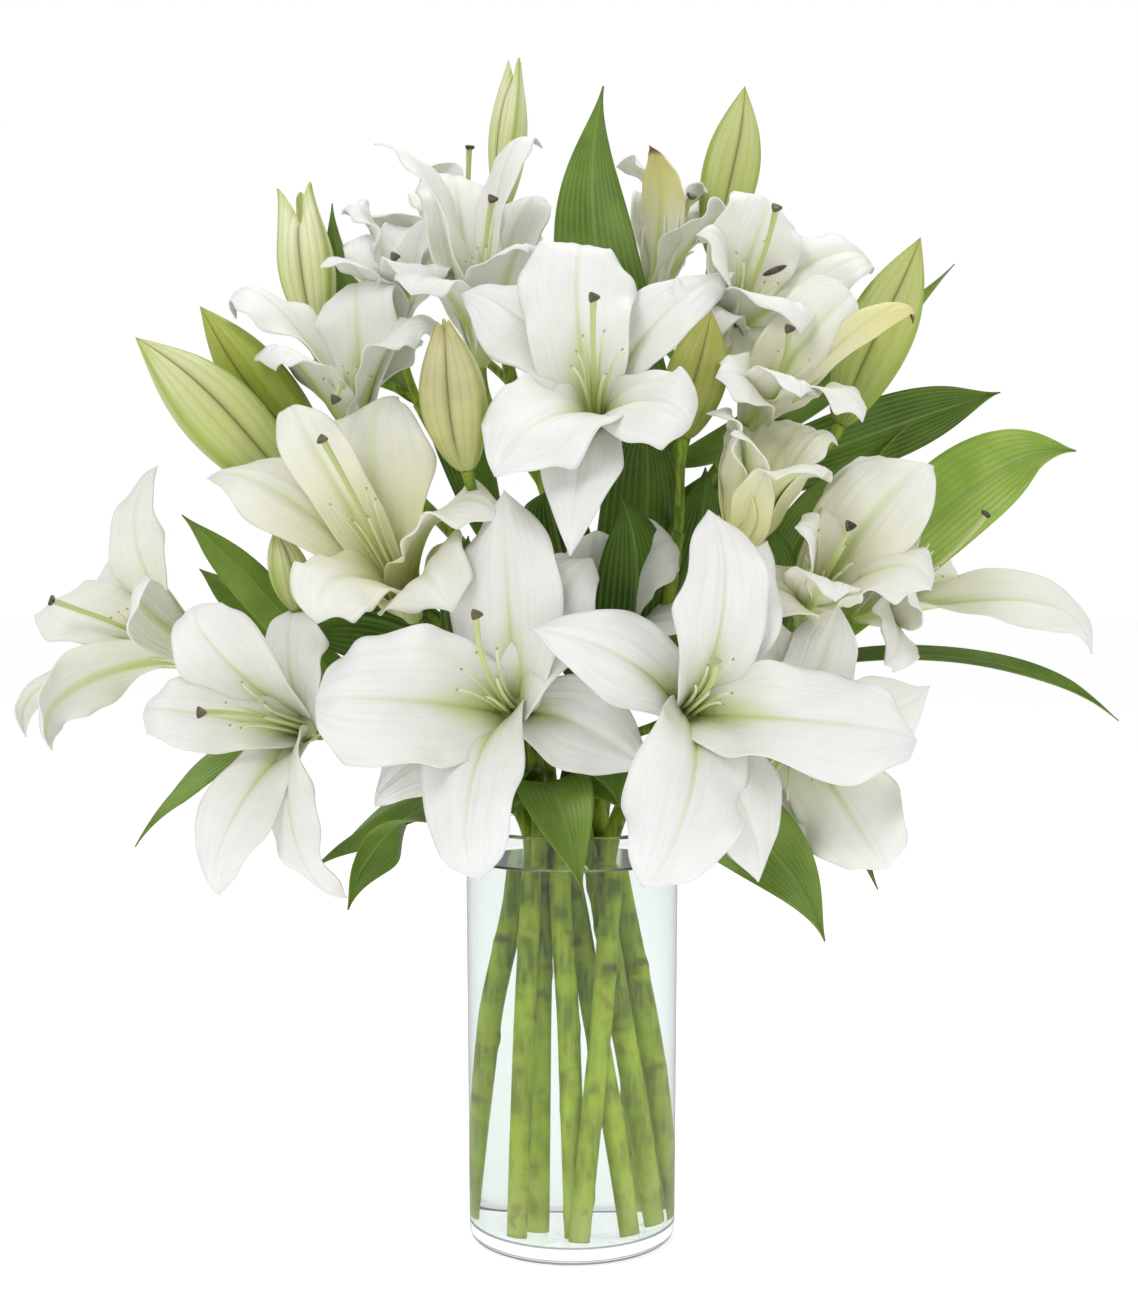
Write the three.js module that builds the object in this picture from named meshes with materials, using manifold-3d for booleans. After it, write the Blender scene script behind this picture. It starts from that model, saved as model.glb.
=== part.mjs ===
// White oriental lilies in a clear glass cylinder vase: nine cut stems stand in water and carry open
// blooms, buds and leaves. Millimetres, +Z up. The origin is the centre of the vase's underside, and
// the side of the bouquet that is meant to be seen faces -Y.
import * as THREE from "three";
import { mergeVertices } from "three/addons/utils/BufferGeometryUtils.js";
import Module from "manifold-3d";

const wasm = await Module();
wasm.setup();

// Driving dimensions: a 4 inch by 8 inch cylinder vase, filled almost to its rim.
const VASE_HEIGHT = 203;
const VASE_FOOT_RADIUS = 50.5;
const VASE_RIM_RADIUS = 52;
const VASE_WALL = 3;
const VASE_FLOOR = 8;
const VASE_FOOT_ROUND = 6;
const VASE_INNER_ROUND = 4;
const VASE_SIDES = 32;
const WATER_LEVEL = 186;

// Pieces that cross are cut this far apart, and a head sits this far above the end of its pedicel.
const GAP = 0.35;
const SEAT_GAP = 0.45;

// Cuts leave no detail finer than this, and vertices nearer than the merge distance are one.
const SLIVER = 0.05;
const MERGE_DISTANCE = 0.002;

const STEM_RADIUS = 4.7;
const STEM_TOP_RADIUS = 3.0;
const STEM_SIDES = 7;
const STEM_STEPS = 10;
const PEDICEL_RADIUS = 2.3;
const PEDICEL_SIDES = 6;
const PEDICEL_STEPS = 3;

// The narrow roots of the tepals close into a tube that widens from its heel to its mouth.
const TUBE_LENGTH = 15;
const TUBE_HEEL_RADIUS = 5.5;
const TUBE_MOUTH_RADIUS = 9;
const TUBE_SIDES = 8;
const TEPAL_THICKNESS = 1.5;
const TEPAL_STEPS = 5;
const TEPAL_WIDEST = 0.6;
const TEPAL_FOLD = 0.2;
const ROOT_HEIGHT = 1;
const INNER_ROOT = 1.5;
const OUTER_ROOT = 3;
const LAYER_SPACING = 5;
const TEPAL_RISE = 0.5;
const TIP_RUN = 0.3;
const TIP_LIFT = 0.14;
const PISTIL_PULL = 1.5;
const DEGREE = Math.PI / 180;
const STYLE_RADIUS = 1.7;
const STIGMA_RADIUS = 3.8;
const LEAF_THICKNESS = 1.1;
const LEAF_STEPS = 4;
const LEAF_FOLD = 0.22;
const BUD_SIDES = 9;
const BUD_STEPS = 6;

const MATERIALS = {
  glass: new THREE.MeshStandardMaterial({
    color: 0xdfe8e8, roughness: 0.05, metalness: 0, transparent: true, opacity: 0.35,
  }),
  water: new THREE.MeshStandardMaterial({
    color: 0xe6efe9, roughness: 0.02, metalness: 0, transparent: true, opacity: 0.3,
  }),
  stem_green: new THREE.MeshStandardMaterial({ color: 0x6f9436, roughness: 0.5, metalness: 0 }),
  petal_white: new THREE.MeshStandardMaterial({ color: 0xf1f0ea, roughness: 0.55, metalness: 0 }),
  pistil_green: new THREE.MeshStandardMaterial({ color: 0xc3cf9a, roughness: 0.5, metalness: 0 }),
  bud_green: new THREE.MeshStandardMaterial({ color: 0xb9c777, roughness: 0.5, metalness: 0 }),
  leaf_green: new THREE.MeshStandardMaterial({ color: 0x3f6e2c, roughness: 0.45, metalness: 0 }),
};

// The nine stems. foot and neck are the axis at the vase floor and level with the rim, path is how it
// goes on above the rim, heads names each bloom or bud with the share of the stem where it branches, and
// leaves are the small ones left on the stem inside the bouquet, in the same terms as the leaves below.
const NECK_HEIGHT = 200;
const STEMS = {
  stem_far_left: {
    foot: [-39, 5], neck: [-21.5, 4],
    path: [[-44, 9, 228], [-80, 13, 247], [-110, 13, 259]],
    heads: { bloom_left_low: 0.93, bloom_far_left: 1, bud_left_small: 0.99 },
    leaves: [
      {
        share: 0.66, middle: [-30, -22, 226], tip: [-46, -36, 212], width: 32,
        across: [1, 0, 0.3],
      },
    ],
  },
  stem_front_left: {
    foot: [-24, -28], neck: [-15.5, -11.3],
    path: [[-18, -14, 240], [-24, -18, 290], [-38, -36, 345]],
    heads: { bloom_front_centre: 0.62, bud_centre: 1 },
    leaves: [
      {
        share: 0.62, middle: [-42, -24, 296], tip: [-50, -32, 344], width: 36,
        across: [1, 0.3, 0],
      },
    ],
  },
  stem_middle_left: {
    foot: [-13.5, -12.1], neck: [-11.5, -1.4],
    path: [[-15, 22, 260], [-32, 45, 320], [-58, 60, 375], [-80, 66, 415]],
    heads: { bloom_top_left_rear: 0.97, bud_left_opened: 1 },
    leaves: [
      {
        share: 0.8, middle: [-56, 36, 392], tip: [-72, 12, 420], width: 26,
        across: [1, 0.2, 0.2],
      },
      {
        share: 0.56, middle: [-26, 8, 262], tip: [-36, -12, 300], width: 26,
        across: [1, 0.2, 0.2],
      },
    ],
  },
  stem_front_middle: {
    foot: [1.5, -24.6], neck: [-4, -12.7],
    path: [[4, -20, 232], [22, -28, 262], [42, -30, 300], [50, -34, 345]],
    heads: { bloom_front_right: 0.63, bloom_half_open: 0.84, bud_right_centre: 1 },
    leaves: [
      {
        share: 0.72, middle: [30, -36, 318], tip: [22, -48, 362], width: 36,
        across: [1, 0.3, 0],
      },
      {
        share: 0.57, middle: [12, -40, 236], tip: [22, -56, 218], width: 24,
        across: [1, 0, 0.2],
      },
      {
        share: 0.8, middle: [58, -6, 334], tip: [64, -6, 378], width: 30,
        across: [1, 0.2, 0],
      },
    ],
  },
  stem_left_leaning: {
    foot: [25, -27.3], neck: [-6, 7.6],
    path: [[-24, 14, 240], [-50, 18, 280], [-90, 20, 325]],
    heads: { bloom_left: 0.76, bud_far_left: 1 },
    leaves: [
      {
        share: 0.72, middle: [-60, -6, 272], tip: [-96, -30, 262], width: 26,
        across: [0.2, -0.5, 1],
      },
      {
        share: 0.84, middle: [-104, 4, 304], tip: [-130, -16, 292], width: 40,
        across: [0.2, 0, 1],
      },
    ],
  },
  stem_right_inner: {
    foot: [32.5, -5.7], neck: [6, -1.6],
    path: [[-6, 4, 250], [-22, 22, 295], [-55, 36, 340], [-82, 44, 368]],
    heads: { bloom_inner: 0.6, bloom_left_high: 1, bud_left: 0.99 },
  },
  stem_far_right: {
    foot: [41, 2.3], neck: [13.5, 5.9],
    path: [[8, 24, 262], [-2, 40, 330], [-20, 52, 390], [-34, 62, 440], [-36, 67, 485]],
    heads: { bloom_centre_high: 0.62, bloom_top_left: 0.74, bloom_top_rear: 0.86, bud_top: 1 },
    leaves: [
      {
        share: 0.54, middle: [-6, 14, 336], tip: [-14, -6, 368], width: 38,
        across: [1, 0.2, 0.1],
      },
    ],
  },
  stem_front_right: {
    foot: [3, -36.8], neck: [20, -7.8],
    path: [[36, -8, 230], [64, -4, 254], [92, 2, 272], [112, 8, 284]],
    heads: { bloom_right_low: 0.87, bloom_right: 0.93, bloom_far_right: 1 },
    leaves: [
      {
        share: 0.68, middle: [44, -26, 236], tip: [58, -44, 214], width: 28,
        across: [1, 0.2, 0],
      },
      {
        share: 0.86, middle: [98, 0, 316], tip: [84, -18, 350], width: 34,
        across: [1, 0.2, 0.2],
      },
    ],
  },
  stem_rear: {
    foot: [22.5, 30], neck: [14, 16.5],
    path: [[22, 26, 260], [36, 32, 320], [50, 36, 372], [58, 44, 420], [64, 52, 452]],
    heads: {
      bloom_right_high: 0.66, bud_far_right: 0.76, bloom_top_right: 0.86, bloom_top_right_rear: 0.93,
      bud_top_right: 1,
    },
    leaves: [
      {
        share: 0.58, middle: [36, 6, 354], tip: [32, -4, 404], width: 46,
        across: [1, 0.3, 0],
      },
      {
        share: 0.72, middle: [82, 22, 384], tip: [104, 0, 404], width: 26,
        across: [0.6, 0.2, 0.8],
      },
    ],
  },
};

// The blooms. base is where the pedicel ends and pistil the offset from there to the stigma. Each tepal
// gives the offset of its tip from the base, its width, the degrees it is rolled about its own length,
// and how strongly its tip curls back.
const BLOOMS = {
  bloom_front_right: {
    base: [49, -60, 260], pistil: [9, -100, 29],
    tepals: [
      [-19, -63, -69, 54, 0, 1.5], [32, -48, -69, 42, 0, 1.4], [102, -40, -8, 54, -8, 1.1],
      [39, -12, 80, 38, 0, 1], [11, -35, 93, 44, 0, 0.9], [-67, -42, 41, 42, 0, 1],
    ],
  },
  bloom_front_centre: {
    base: [-24, -50, 259], pistil: [-16, -98, 49],
    tepals: [
      [-89, -38, 8, 64, 0, 1.3], [-66, -14, -40, 36, 0, 1.6], [-16, -58, -67, 46, 0, 1.6],
      [60, -14, -24, 44, 0, 1], [33, -16, 73, 42, 0, 1.2], [-7, -12, 104, 54, 0, 1],
    ],
  },
  bloom_inner: {
    base: [16, -8, 288], pistil: [0, -22, 36],
    tepals: [
      [34, -24, 48, 40, 0, 1.4], [-4, -12, 58, 36, 0, 1], [-36, -22, 40, 40, 0, 1.4],
      [-36, -40, 6, 32, 0, 1.2], [2, -52, -2, 38, 0, 1.4], [40, -40, 10, 34, 0, 1.2],
    ],
  },
  bloom_left_low: {
    base: [-123, -20, 249], pistil: [-38, -92, 16],
    tepals: [
      [-73, -34, 12, 36, 12, 1.6], [-38, -48, -70, 34, -16, 2.2], [20, -46, -72, 32, 20, 2.2],
      [40, -2, 20, 32, 0, 1], [-8, 0, 60, 36, 0, 1.2], [-41, -42, 58, 42, 0, 2.2],
    ],
  },
  bloom_centre_high: {
    base: [12, -30, 391], pistil: [-3, -82, 53],
    tepals: [
      [-46, -68, -23, 54, 0, 1.3], [-13, -74, -58, 36, 0, 1.3], [39, -55, -2, 42, 0, 2],
      [66, 16, 79, 36, 0, 1], [-4, 10, 84, 53, 0, 1.7], [-65, 12, 68, 48, 0, 1],
    ],
  },
  bloom_left: {
    base: [-76, -10, 303], pistil: [-35, -78, 82],
    tepals: [
      [-38, -72, 0, 44, -20, 1.8], [22, -78, 6, 52, 20, 1.5], [44, -62, 46, 48, -25, 1.2],
      [-10, 24, 110, 62, 0, 1], [-58, -12, 101, 30, 0, 1.2], [-98, -10, 68, 42, 0, 0.9],
    ],
  },
  bloom_half_open: {
    base: [71, -50, 318], pistil: [14, -25, 50],
    tepals: [
      [39, -46, 49, 38, 0, 0.8], [50, -12, 66, 34, 0, 1.2], [42, 18, 74, 32, 0, 0.8],
      [4, 24, 80, 32, 0, 0.6], [-10, -16, 80, 38, 0, 0.7], [-1, -38, 69, 36, 0, 0.7],
    ],
  },
  bloom_right: {
    base: [108, -30, 301], pistil: [13, -74, 45],
    tepals: [
      [-32, -40, 18, 32, 0, 1], [8, -65, 12, 36, 0, 1], [53, -48, 17, 42, 0, 1.1],
      [59, -20, 74, 50, 0, 0.9], [37, 0, 80, 40, 0, 1], [-8, -48, 45, 34, 0, 1],
    ],
  },
  bloom_far_left: {
    base: [-162, 0, 280], pistil: [-86, -25, 33],
    tepals: [
      [-91, 12, 28, 38, 25, 1], [-108, 8, -34, 27, 45, 1.4], [-82, -42, -37, 32, 45, 1.4],
      [-29, -70, 43, 30, 0, 1.2], [-39, -5, 98, 29, 50, 0.8], [-71, 55, 54, 36, 20, 1],
    ],
  },
  bloom_far_right: {
    base: [138, 15, 303], pistil: [64, -17, 52],
    tepals: [
      [9, -53, -20, 34, 0, 1], [113, -27, -16, 38, 60, 0.9], [63, 70, 10, 40, 0, 1],
      [45, 50, 40, 36, 0, 1], [32, 27, 51, 36, 0, 1], [17, -50, 20, 36, 0, 1],
    ],
  },
  bloom_right_low: {
    base: [103, -30, 256], pistil: [-33, -55, -46],
    tepals: [
      [-40, -16, -22, 34, 0, 1], [-7, -30, -62, 40, 0, 1], [40, -38, -65, 48, 0, 1.2],
      [60, -35, 18, 42, 0, 1], [20, -20, 55, 36, 0, 1], [-10, -20, 50, 36, 0, 1],
    ],
  },
  bloom_right_high: {
    base: [81, -20, 392], pistil: [17, -50, 44],
    tepals: [
      [-16, -48, 22, 34, 0, 1], [21, -60, 12, 36, 0, 1], [50, -50, 2, 32, 0, 1.3],
      [77, -25, 50, 20, 0, 1.9], [52, -8, 62, 40, 0, 1], [12, 30, 58, 36, 0, 1],
    ],
  },
  bloom_top_left: {
    base: [-46, 30, 429], pistil: [8, -50, 75],
    tepals: [
      [-30, -60, 28, 42, 0, 1], [25, -45, 50, 40, 0, 1], [31, 0, 110, 24, 0, 1.2],
      [30, 40, 90, 38, 0, 1], [-16, 45, 100, 42, 0, 1], [-51, -22, 107, 40, 0, 0.3],
    ],
  },
  bloom_top_rear: {
    base: [-55, 90, 457], pistil: [0, 10, 98],
    tepals: [
      [40, 55, 50, 40, 0, 1], [6, 66, 30, 36, 0, 1], [-30, 58, 70, 40, 0, 1], [-58, -2, 56, 40, 0, 1],
      [-26, 10, 84, 36, 0, 1], [42, 0, 66, 40, 0, 1],
    ],
  },
  bloom_left_high: {
    base: [-107, 30, 391], pistil: [-5, -60, 17],
    tepals: [
      [-60, -10, 62, 42, 0, 1.9], [-36, -38, 33, 44, 0, 1.8], [40, -30, 47, 44, 0, 1.8],
      [30, 30, 55, 40, 0, 1], [-2, 10, 70, 44, 0, 1.9], [-20, 50, 50, 38, 0, 1],
    ],
  },
  bloom_top_left_rear: {
    base: [-89, 60, 448], pistil: [0, -30, 37],
    tepals: [
      [-28, -15, 61, 42, 0, 0.9], [-36, -40, 30, 36, 0, 1], [22, -50, 20, 42, 0, 1.2],
      [23, -10, 56, 38, 0, 1], [13, 40, 59, 40, 0, 1], [-20, 50, 58, 38, 0, 1],
    ],
  },
  bloom_top_right: {
    base: [73, 20, 432], pistil: [22, -60, 64],
    tepals: [
      [-20, -60, 8, 42, 0, 1.2], [32, -72, 4, 42, 0, 1.4], [77, 12, 45, 46, 0, 1.2],
      [50, 44, 55, 40, 0, 1], [23, -8, 75, 46, 0, 1], [-14, -44, 54, 42, 0, 1],
    ],
  },
  bloom_top_right_rear: {
    base: [41, 40, 460], pistil: [19, -10, 55],
    tepals: [
      [44, -8, 40, 38, 0, 1], [46, 20, 60, 38, 0, 1], [30, 50, 60, 38, 0, 1], [4, 60, 60, 38, 0, 1],
      [-18, 20, 76, 34, 0, 0.5], [-3, -28, 76, 27, 0, 0.4],
    ],
  },
};

// These four blooms stand in front: their tepals are folded and their pistils are pieces of their own.
const OPEN_FRONT = ["bloom_front_right", "bloom_front_centre", "bloom_centre_high", "bloom_left"];

// The buds, from the end of the pedicel to the tip.
const BUDS = {
  bud_top: { base: [-36, 70, 515], tip: [-29, 78, 597], width: 20 },
  bud_top_right: { base: [73, 60, 488], tip: [90, 70, 580], width: 29 },
  bud_left_opened: { base: [-130, 66, 446], tip: [-144, 70, 529], width: 29 },
  bud_left: { base: [-125, 28, 387], tip: [-185, 20, 459], width: 30 },
  bud_far_left: { base: [-133, 4, 362], tip: [-211, -8, 440], width: 38 },
  bud_centre: { base: [-48, -58, 372], tip: [-58, -80, 440], width: 30 },
  bud_right_centre: { base: [52, -42, 388], tip: [64, -52, 447], width: 28 },
  bud_far_right: { base: [133, 20, 399], tip: [172, 14, 492], width: 34 },
  bud_left_small: { base: [-131, -24, 308], tip: [-140, -36, 347], width: 19 },
};

// The leaves: the stem each grows from and the share of its length, then the middle and tip of the
// midrib, the widest width, and the direction across the blade.
const LEAVES = {
  leaf_top: {
    on: ["stem_rear", 0.85], middle: [14, 6, 472], tip: [15, 0, 561], width: 42,
    across: [1, 0.2, 0.2],
  },
  leaf_left_upper: {
    on: ["stem_middle_left", 1], middle: [-114, 76, 466], tip: [-126, 74, 520], width: 20,
    across: [1, 0.6, 0],
  },
  leaf_right_upper: {
    on: ["stem_rear", 0.84], middle: [125, 50, 420], tip: [194, 45, 484], width: 22,
    across: [0.6, 0.2, -0.7],
  },
  leaf_right_slender: {
    on: ["stem_rear", 0.78], middle: [150, 44, 396], tip: [218, 42, 419], width: 34,
    across: [-0.2, 0.3, 1],
  },
  leaf_right_pale: {
    on: ["stem_front_right", 1], middle: [198, 32, 366], tip: [249, 20, 388], width: 44,
    across: [-0.3, 0.2, 0.9],
  },
  leaf_right_middle: {
    on: ["stem_front_right", 0.95], middle: [110, 12, 340], tip: [165, 4, 399], width: 24,
    across: [-0.6, 0.3, 0.7],
  },
  leaf_right_long: {
    on: ["stem_front_right", 0.98], middle: [196, -14, 284], tip: [263, -20, 256], width: 12,
    across: [0, 0.7, 0.7],
  },
  leaf_left_upright: {
    on: ["stem_far_left", 0.98], middle: [-150, 6, 314], tip: [-190, -5, 354], width: 22,
    across: [0.7, 0.3, 0.7],
  },
  leaf_left_middle: {
    on: ["stem_far_left", 0.93], middle: [-150, 34, 300], tip: [-188, 24, 328], width: 24,
    across: [0.5, 0.5, 0.7],
  },
  leaf_left_drooping: {
    on: ["stem_far_left", 0.9], middle: [-162, 8, 244], tip: [-210, -10, 192], width: 26,
    across: [0, 1, 0.3],
  },
  leaf_left_under: {
    on: ["stem_far_left", 0.75], middle: [-88, -20, 212], tip: [-118, -40, 186], width: 30,
    across: [0.3, 0.8, 0.5],
  },
  leaf_left_low: {
    on: ["stem_front_left", 0.63], middle: [-78, -38, 210], tip: [-102, -60, 171], width: 34,
    across: [0.6, 0.6, 0.4],
  },
  leaf_right_low: {
    on: ["stem_front_middle", 0.63], middle: [74, -64, 212], tip: [114, -84, 160], width: 40,
    across: [0.6, 0.3, 0.7],
  },
  leaf_right_under: {
    on: ["stem_front_right", 0.78], middle: [108, -24, 222], tip: [146, -40, 178], width: 26,
    across: [0.3, 0.8, 0.5],
  },
  leaf_front: {
    on: ["stem_front_left", 0.61], middle: [-8, -58, 224], tip: [5, -72, 180], width: 34,
    across: [1, 0, 0.1],
  },
  leaf_rear_left: {
    on: ["stem_middle_left", 0.78], middle: [-52, 100, 340], tip: [-74, 134, 300], width: 28,
    across: [1, 0.4, 0],
  },
  leaf_rear_right: {
    on: ["stem_rear", 0.68], middle: [70, 84, 340], tip: [96, 118, 306], width: 28,
    across: [1, -0.5, 0],
  },
};

const vec = (list) => new THREE.Vector3(list[0], list[1], list[2]);

// A closed geometry becomes a solid that can be cut and joined.
function solidOf(geometry) {
  geometry.deleteAttribute("normal");
  geometry.deleteAttribute("uv");
  const merged = mergeVertices(geometry, MERGE_DISTANCE);
  const mesh = new wasm.Mesh({
    numProp: 3,
    vertProperties: new Float32Array(merged.attributes.position.array),
    triVerts: new Uint32Array(merged.index.array),
  });
  return new wasm.Manifold(mesh);
}

function geometryOf(solid) {
  const result = solid.getMesh();
  const geometry = new THREE.BufferGeometry();
  geometry.setAttribute("position", new THREE.Float32BufferAttribute(result.vertProperties, 3));
  geometry.setIndex([...result.triVerts]);
  return geometry;
}

function meshOf(name, solid, material) {
  const geometry = geometryOf(solid);
  geometry.computeVertexNormals();
  const mesh = new THREE.Mesh(geometry, material);
  mesh.name = name;
  return mesh;
}

function largestBody(solid) {
  return solid.decompose().sort((a, b) => b.volume() - a.volume())[0];
}

// A cut solid loses its slivers, its cut-off scraps and its sealed pockets.
function cleaned(solid) {
  const body = largestBody(solid.simplify(SLIVER));
  return largestBody(solidOf(geometryOf(body)));
}

// Moves every vertex of a geometry to where place says.
function reshaped(geometry, place) {
  const position = geometry.attributes.position;
  const vertex = new THREE.Vector3();
  for (let i = 0; i < position.count; i += 1) {
    const moved = place(vertex.fromBufferAttribute(position, i));
    position.setXYZ(i, moved.x, moved.y, moved.z);
  }
  return geometry;
}

// Every shape below can be grown by a few tenths of a millimetre on all sides, to cut its neighbours.
// A round rod along a curve, whose radius changes with the share of its length.
function rod({ curve, radiusAt, sides, steps, grow }) {
  const frames = curve.computeFrenetFrames(steps, false);
  const geometry = new THREE.CylinderGeometry(1, 1, 1, sides, steps);
  return solidOf(reshaped(geometry, (v) => {
    const share = v.y + 0.5;
    const step = Math.round(share * steps);
    const radius = radiusAt(share) + grow;
    return curve.getPointAt(share)
      .addScaledVector(frames.tangents[step], grow * 2 * v.y)
      .addScaledVector(frames.normals[step], v.x * radius)
      .addScaledVector(frames.binormals[step], -v.z * radius);
  }));
}

function ball(centre, radius, sides, rings) {
  const geometry = new THREE.SphereGeometry(radius, sides, rings);
  return solidOf(reshaped(geometry, (v) => v.clone().add(centre)));
}

// A thin blade along a curve: share runs from its root to its tip and side from -1 to 1 across it.
// Its two halves rise from the midrib with the slope of the fold.
function blade({ curve, across, roll, halfWidth, fold, thickness, steps, facets, grow }) {
  const geometry = new THREE.BoxGeometry(1, 1, 1, steps, facets, 1);
  return solidOf(reshaped(geometry, (v) => {
    const share = v.x + 0.5;
    const side = v.y * 2;
    const tangent = curve.getTangent(share);
    const width = across.clone().addScaledVector(tangent, -across.dot(tangent)).normalize()
      .applyAxisAngle(tangent, roll * DEGREE * Math.min(1, 2 * share));
    const face = tangent.clone().cross(width);
    return curve.getPoint(share)
      .addScaledVector(tangent, grow * 2 * v.x)
      .addScaledVector(width, side * (halfWidth(share) + grow))
      .addScaledVector(face, fold * Math.abs(side) * halfWidth(share) + v.z * (thickness + 2 * grow));
  }));
}

// A bloom faces the mean of where its tepals and its pistil point.
function facingOf(bloom) {
  const facing = vec(bloom.pistil).normalize().multiplyScalar(PISTIL_PULL);
  for (const tip of bloom.tepals) facing.add(vec(tip).normalize());
  return facing.normalize();
}

// The width of a tepal as a share of its widest: a narrow claw, then a broad blade with a blunt point.
function tepalProfile(s) {
  if (s < TEPAL_WIDEST) return 0.14 + 0.86 * Math.sin((0.5 * Math.PI * s) / TEPAL_WIDEST) ** 3;
  return 0.1 + 0.9 * (1 - ((s - TEPAL_WIDEST) / (1 - TEPAL_WIDEST)) ** 2.2) ** 0.9;
}

// A tepal leaves the tube along the way the bloom faces, arches over and curls back at its tip. Every
// second tepal belongs to the outer whorl, which opens earlier and lies behind the inner one.
function tepal(bloom, order, facets, grow) {
  const facing = facingOf(bloom);
  const [, , , width, roll, curl] = bloom.tepals[order];
  const outer = order % 2;
  const chord = vec(bloom.tepals[order]);
  const length = chord.length();
  const outward = chord.clone().addScaledVector(facing, -chord.dot(facing)).normalize();
  const root = vec(bloom.base).addScaledVector(facing, ROOT_HEIGHT)
    .addScaledVector(outward, outer ? OUTER_ROOT : INNER_ROOT);
  const tip = vec(bloom.base).add(chord);
  const rise = root.clone().addScaledVector(facing, TEPAL_RISE * length - outer * LAYER_SPACING)
    .addScaledVector(outward, (1 + outer) * LAYER_SPACING);
  const bend = tip.clone().addScaledVector(outward, -TIP_RUN * length)
    .addScaledVector(facing, TIP_LIFT * length * curl - outer * LAYER_SPACING);
  return blade({
    curve: new THREE.CubicBezierCurve3(root, rise, bend, tip),
    across: facing.clone().cross(outward),
    roll,
    halfWidth: (s) => 0.5 * width * tepalProfile(s),
    fold: TEPAL_FOLD,
    thickness: TEPAL_THICKNESS,
    steps: TEPAL_STEPS,
    facets,
    grow,
  });
}

// The style follows the tube and then curves to where the stigma is.
function pistil(bloom, clearance, grow) {
  const facing = facingOf(bloom);
  const foot = vec(bloom.base).addScaledVector(facing, TUBE_LENGTH + clearance);
  const end = vec(bloom.base).add(vec(bloom.pistil));
  const turn = foot.clone().addScaledVector(facing, 0.5 * foot.distanceTo(end));
  const curve = new THREE.QuadraticBezierCurve3(foot, turn, end);
  const style = rod({ curve, radiusAt: () => STYLE_RADIUS, sides: PEDICEL_SIDES, steps: 2, grow });
  return style.add(ball(end, STIGMA_RADIUS + grow, 6, 4));
}

// Six tepals on their tube. A bloom whose pistil is not a piece of its own holds it too.
function bloomSolid(name, grow) {
  const bloom = BLOOMS[name];
  const heel = vec(bloom.base);
  const mouth = heel.clone().addScaledVector(facingOf(bloom), TUBE_LENGTH);
  let solid = rod({
    curve: new THREE.LineCurve3(heel, mouth),
    radiusAt: (s) => TUBE_HEEL_RADIUS + s * (TUBE_MOUTH_RADIUS - TUBE_HEEL_RADIUS),
    sides: TUBE_SIDES,
    steps: 1,
    grow,
  });
  const inFront = OPEN_FRONT.includes(name);
  for (let order = 0; order < bloom.tepals.length; order += 1) {
    solid = solid.add(tepal(bloom, order, inFront ? 2 : 1, grow));
  }
  return inFront ? solid : solid.add(pistil(bloom, -SEAT_GAP, grow));
}

// A bud is a spindle with three swollen sides.
function budSolid(name, grow) {
  const bud = BUDS[name];
  const geometry = new THREE.SphereGeometry(1, BUD_SIDES, BUD_STEPS);
  const axis = vec(bud.tip).sub(vec(bud.base));
  const length = axis.length();
  axis.normalize();
  const sideways = new THREE.Vector3(0, 1, 0).cross(axis).normalize();
  const forward = axis.clone().cross(sideways);
  return solidOf(reshaped(geometry, (v) => {
    const share = (v.y + 1) / 2;
    const swell = 1 + 0.08 * Math.cos(3 * Math.atan2(v.z, v.x));
    const spindle = (0.5 * bud.width + grow) * swell * (1 - 0.35 * (share - 0.45));
    return vec(bud.base)
      .addScaledVector(axis, -grow + share * (length + 2 * grow))
      .addScaledVector(sideways, v.z * spindle)
      .addScaledVector(forward, v.x * spindle);
  }));
}

// The axis of a stem, from its cut end on the vase floor to its top.
function stemCurve(name) {
  const { foot, neck, path } = STEMS[name];
  const lean = Math.hypot(neck[0] - foot[0], neck[1] - foot[1]) / (NECK_HEIGHT - VASE_FLOOR);
  const footHeight = VASE_FLOOR + GAP + STEM_RADIUS * lean;
  return new THREE.CatmullRomCurve3([
    new THREE.Vector3(foot[0], foot[1], footHeight),
    new THREE.Vector3((foot[0] + neck[0]) / 2, (foot[1] + neck[1]) / 2, (footHeight + NECK_HEIGHT) / 2),
    new THREE.Vector3(neck[0], neck[1], NECK_HEIGHT),
    ...path.map(vec),
  ]);
}

// A leaf arches from its stem through its middle to its tip and is folded along its midrib.
function leafFrom(stem, share, { middle, tip, width, across }, grow) {
  const root = stemCurve(stem).getPointAt(share);
  const pull = vec(middle).multiplyScalar(2).addScaledVector(root, -0.5).addScaledVector(vec(tip), -0.5);
  return blade({
    curve: new THREE.QuadraticBezierCurve3(root, pull, vec(tip)),
    across: vec(across),
    roll: 0,
    halfWidth: (s) => 0.5 * width * (0.16 * (1 - s) + 0.86 * Math.sin(Math.PI * s ** 0.9) ** 0.85 + 0.04),
    fold: LEAF_FOLD,
    thickness: LEAF_THICKNESS,
    steps: LEAF_STEPS,
    facets: 2,
    grow,
  });
}

function leafSolid(name, grow) {
  const [stem, share] = LEAVES[name].on;
  return leafFrom(stem, share, LEAVES[name], grow);
}

// Where a head's pedicel ends, and the way it points there.
function seatOf(head) {
  if (head in BUDS) {
    const base = vec(BUDS[head].base);
    const facing = vec(BUDS[head].tip).sub(base).normalize();
    return { end: base.addScaledVector(facing, -SEAT_GAP), facing };
  }
  const facing = facingOf(BLOOMS[head]);
  return { end: vec(BLOOMS[head].base).addScaledVector(facing, -SEAT_GAP), facing };
}

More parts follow.
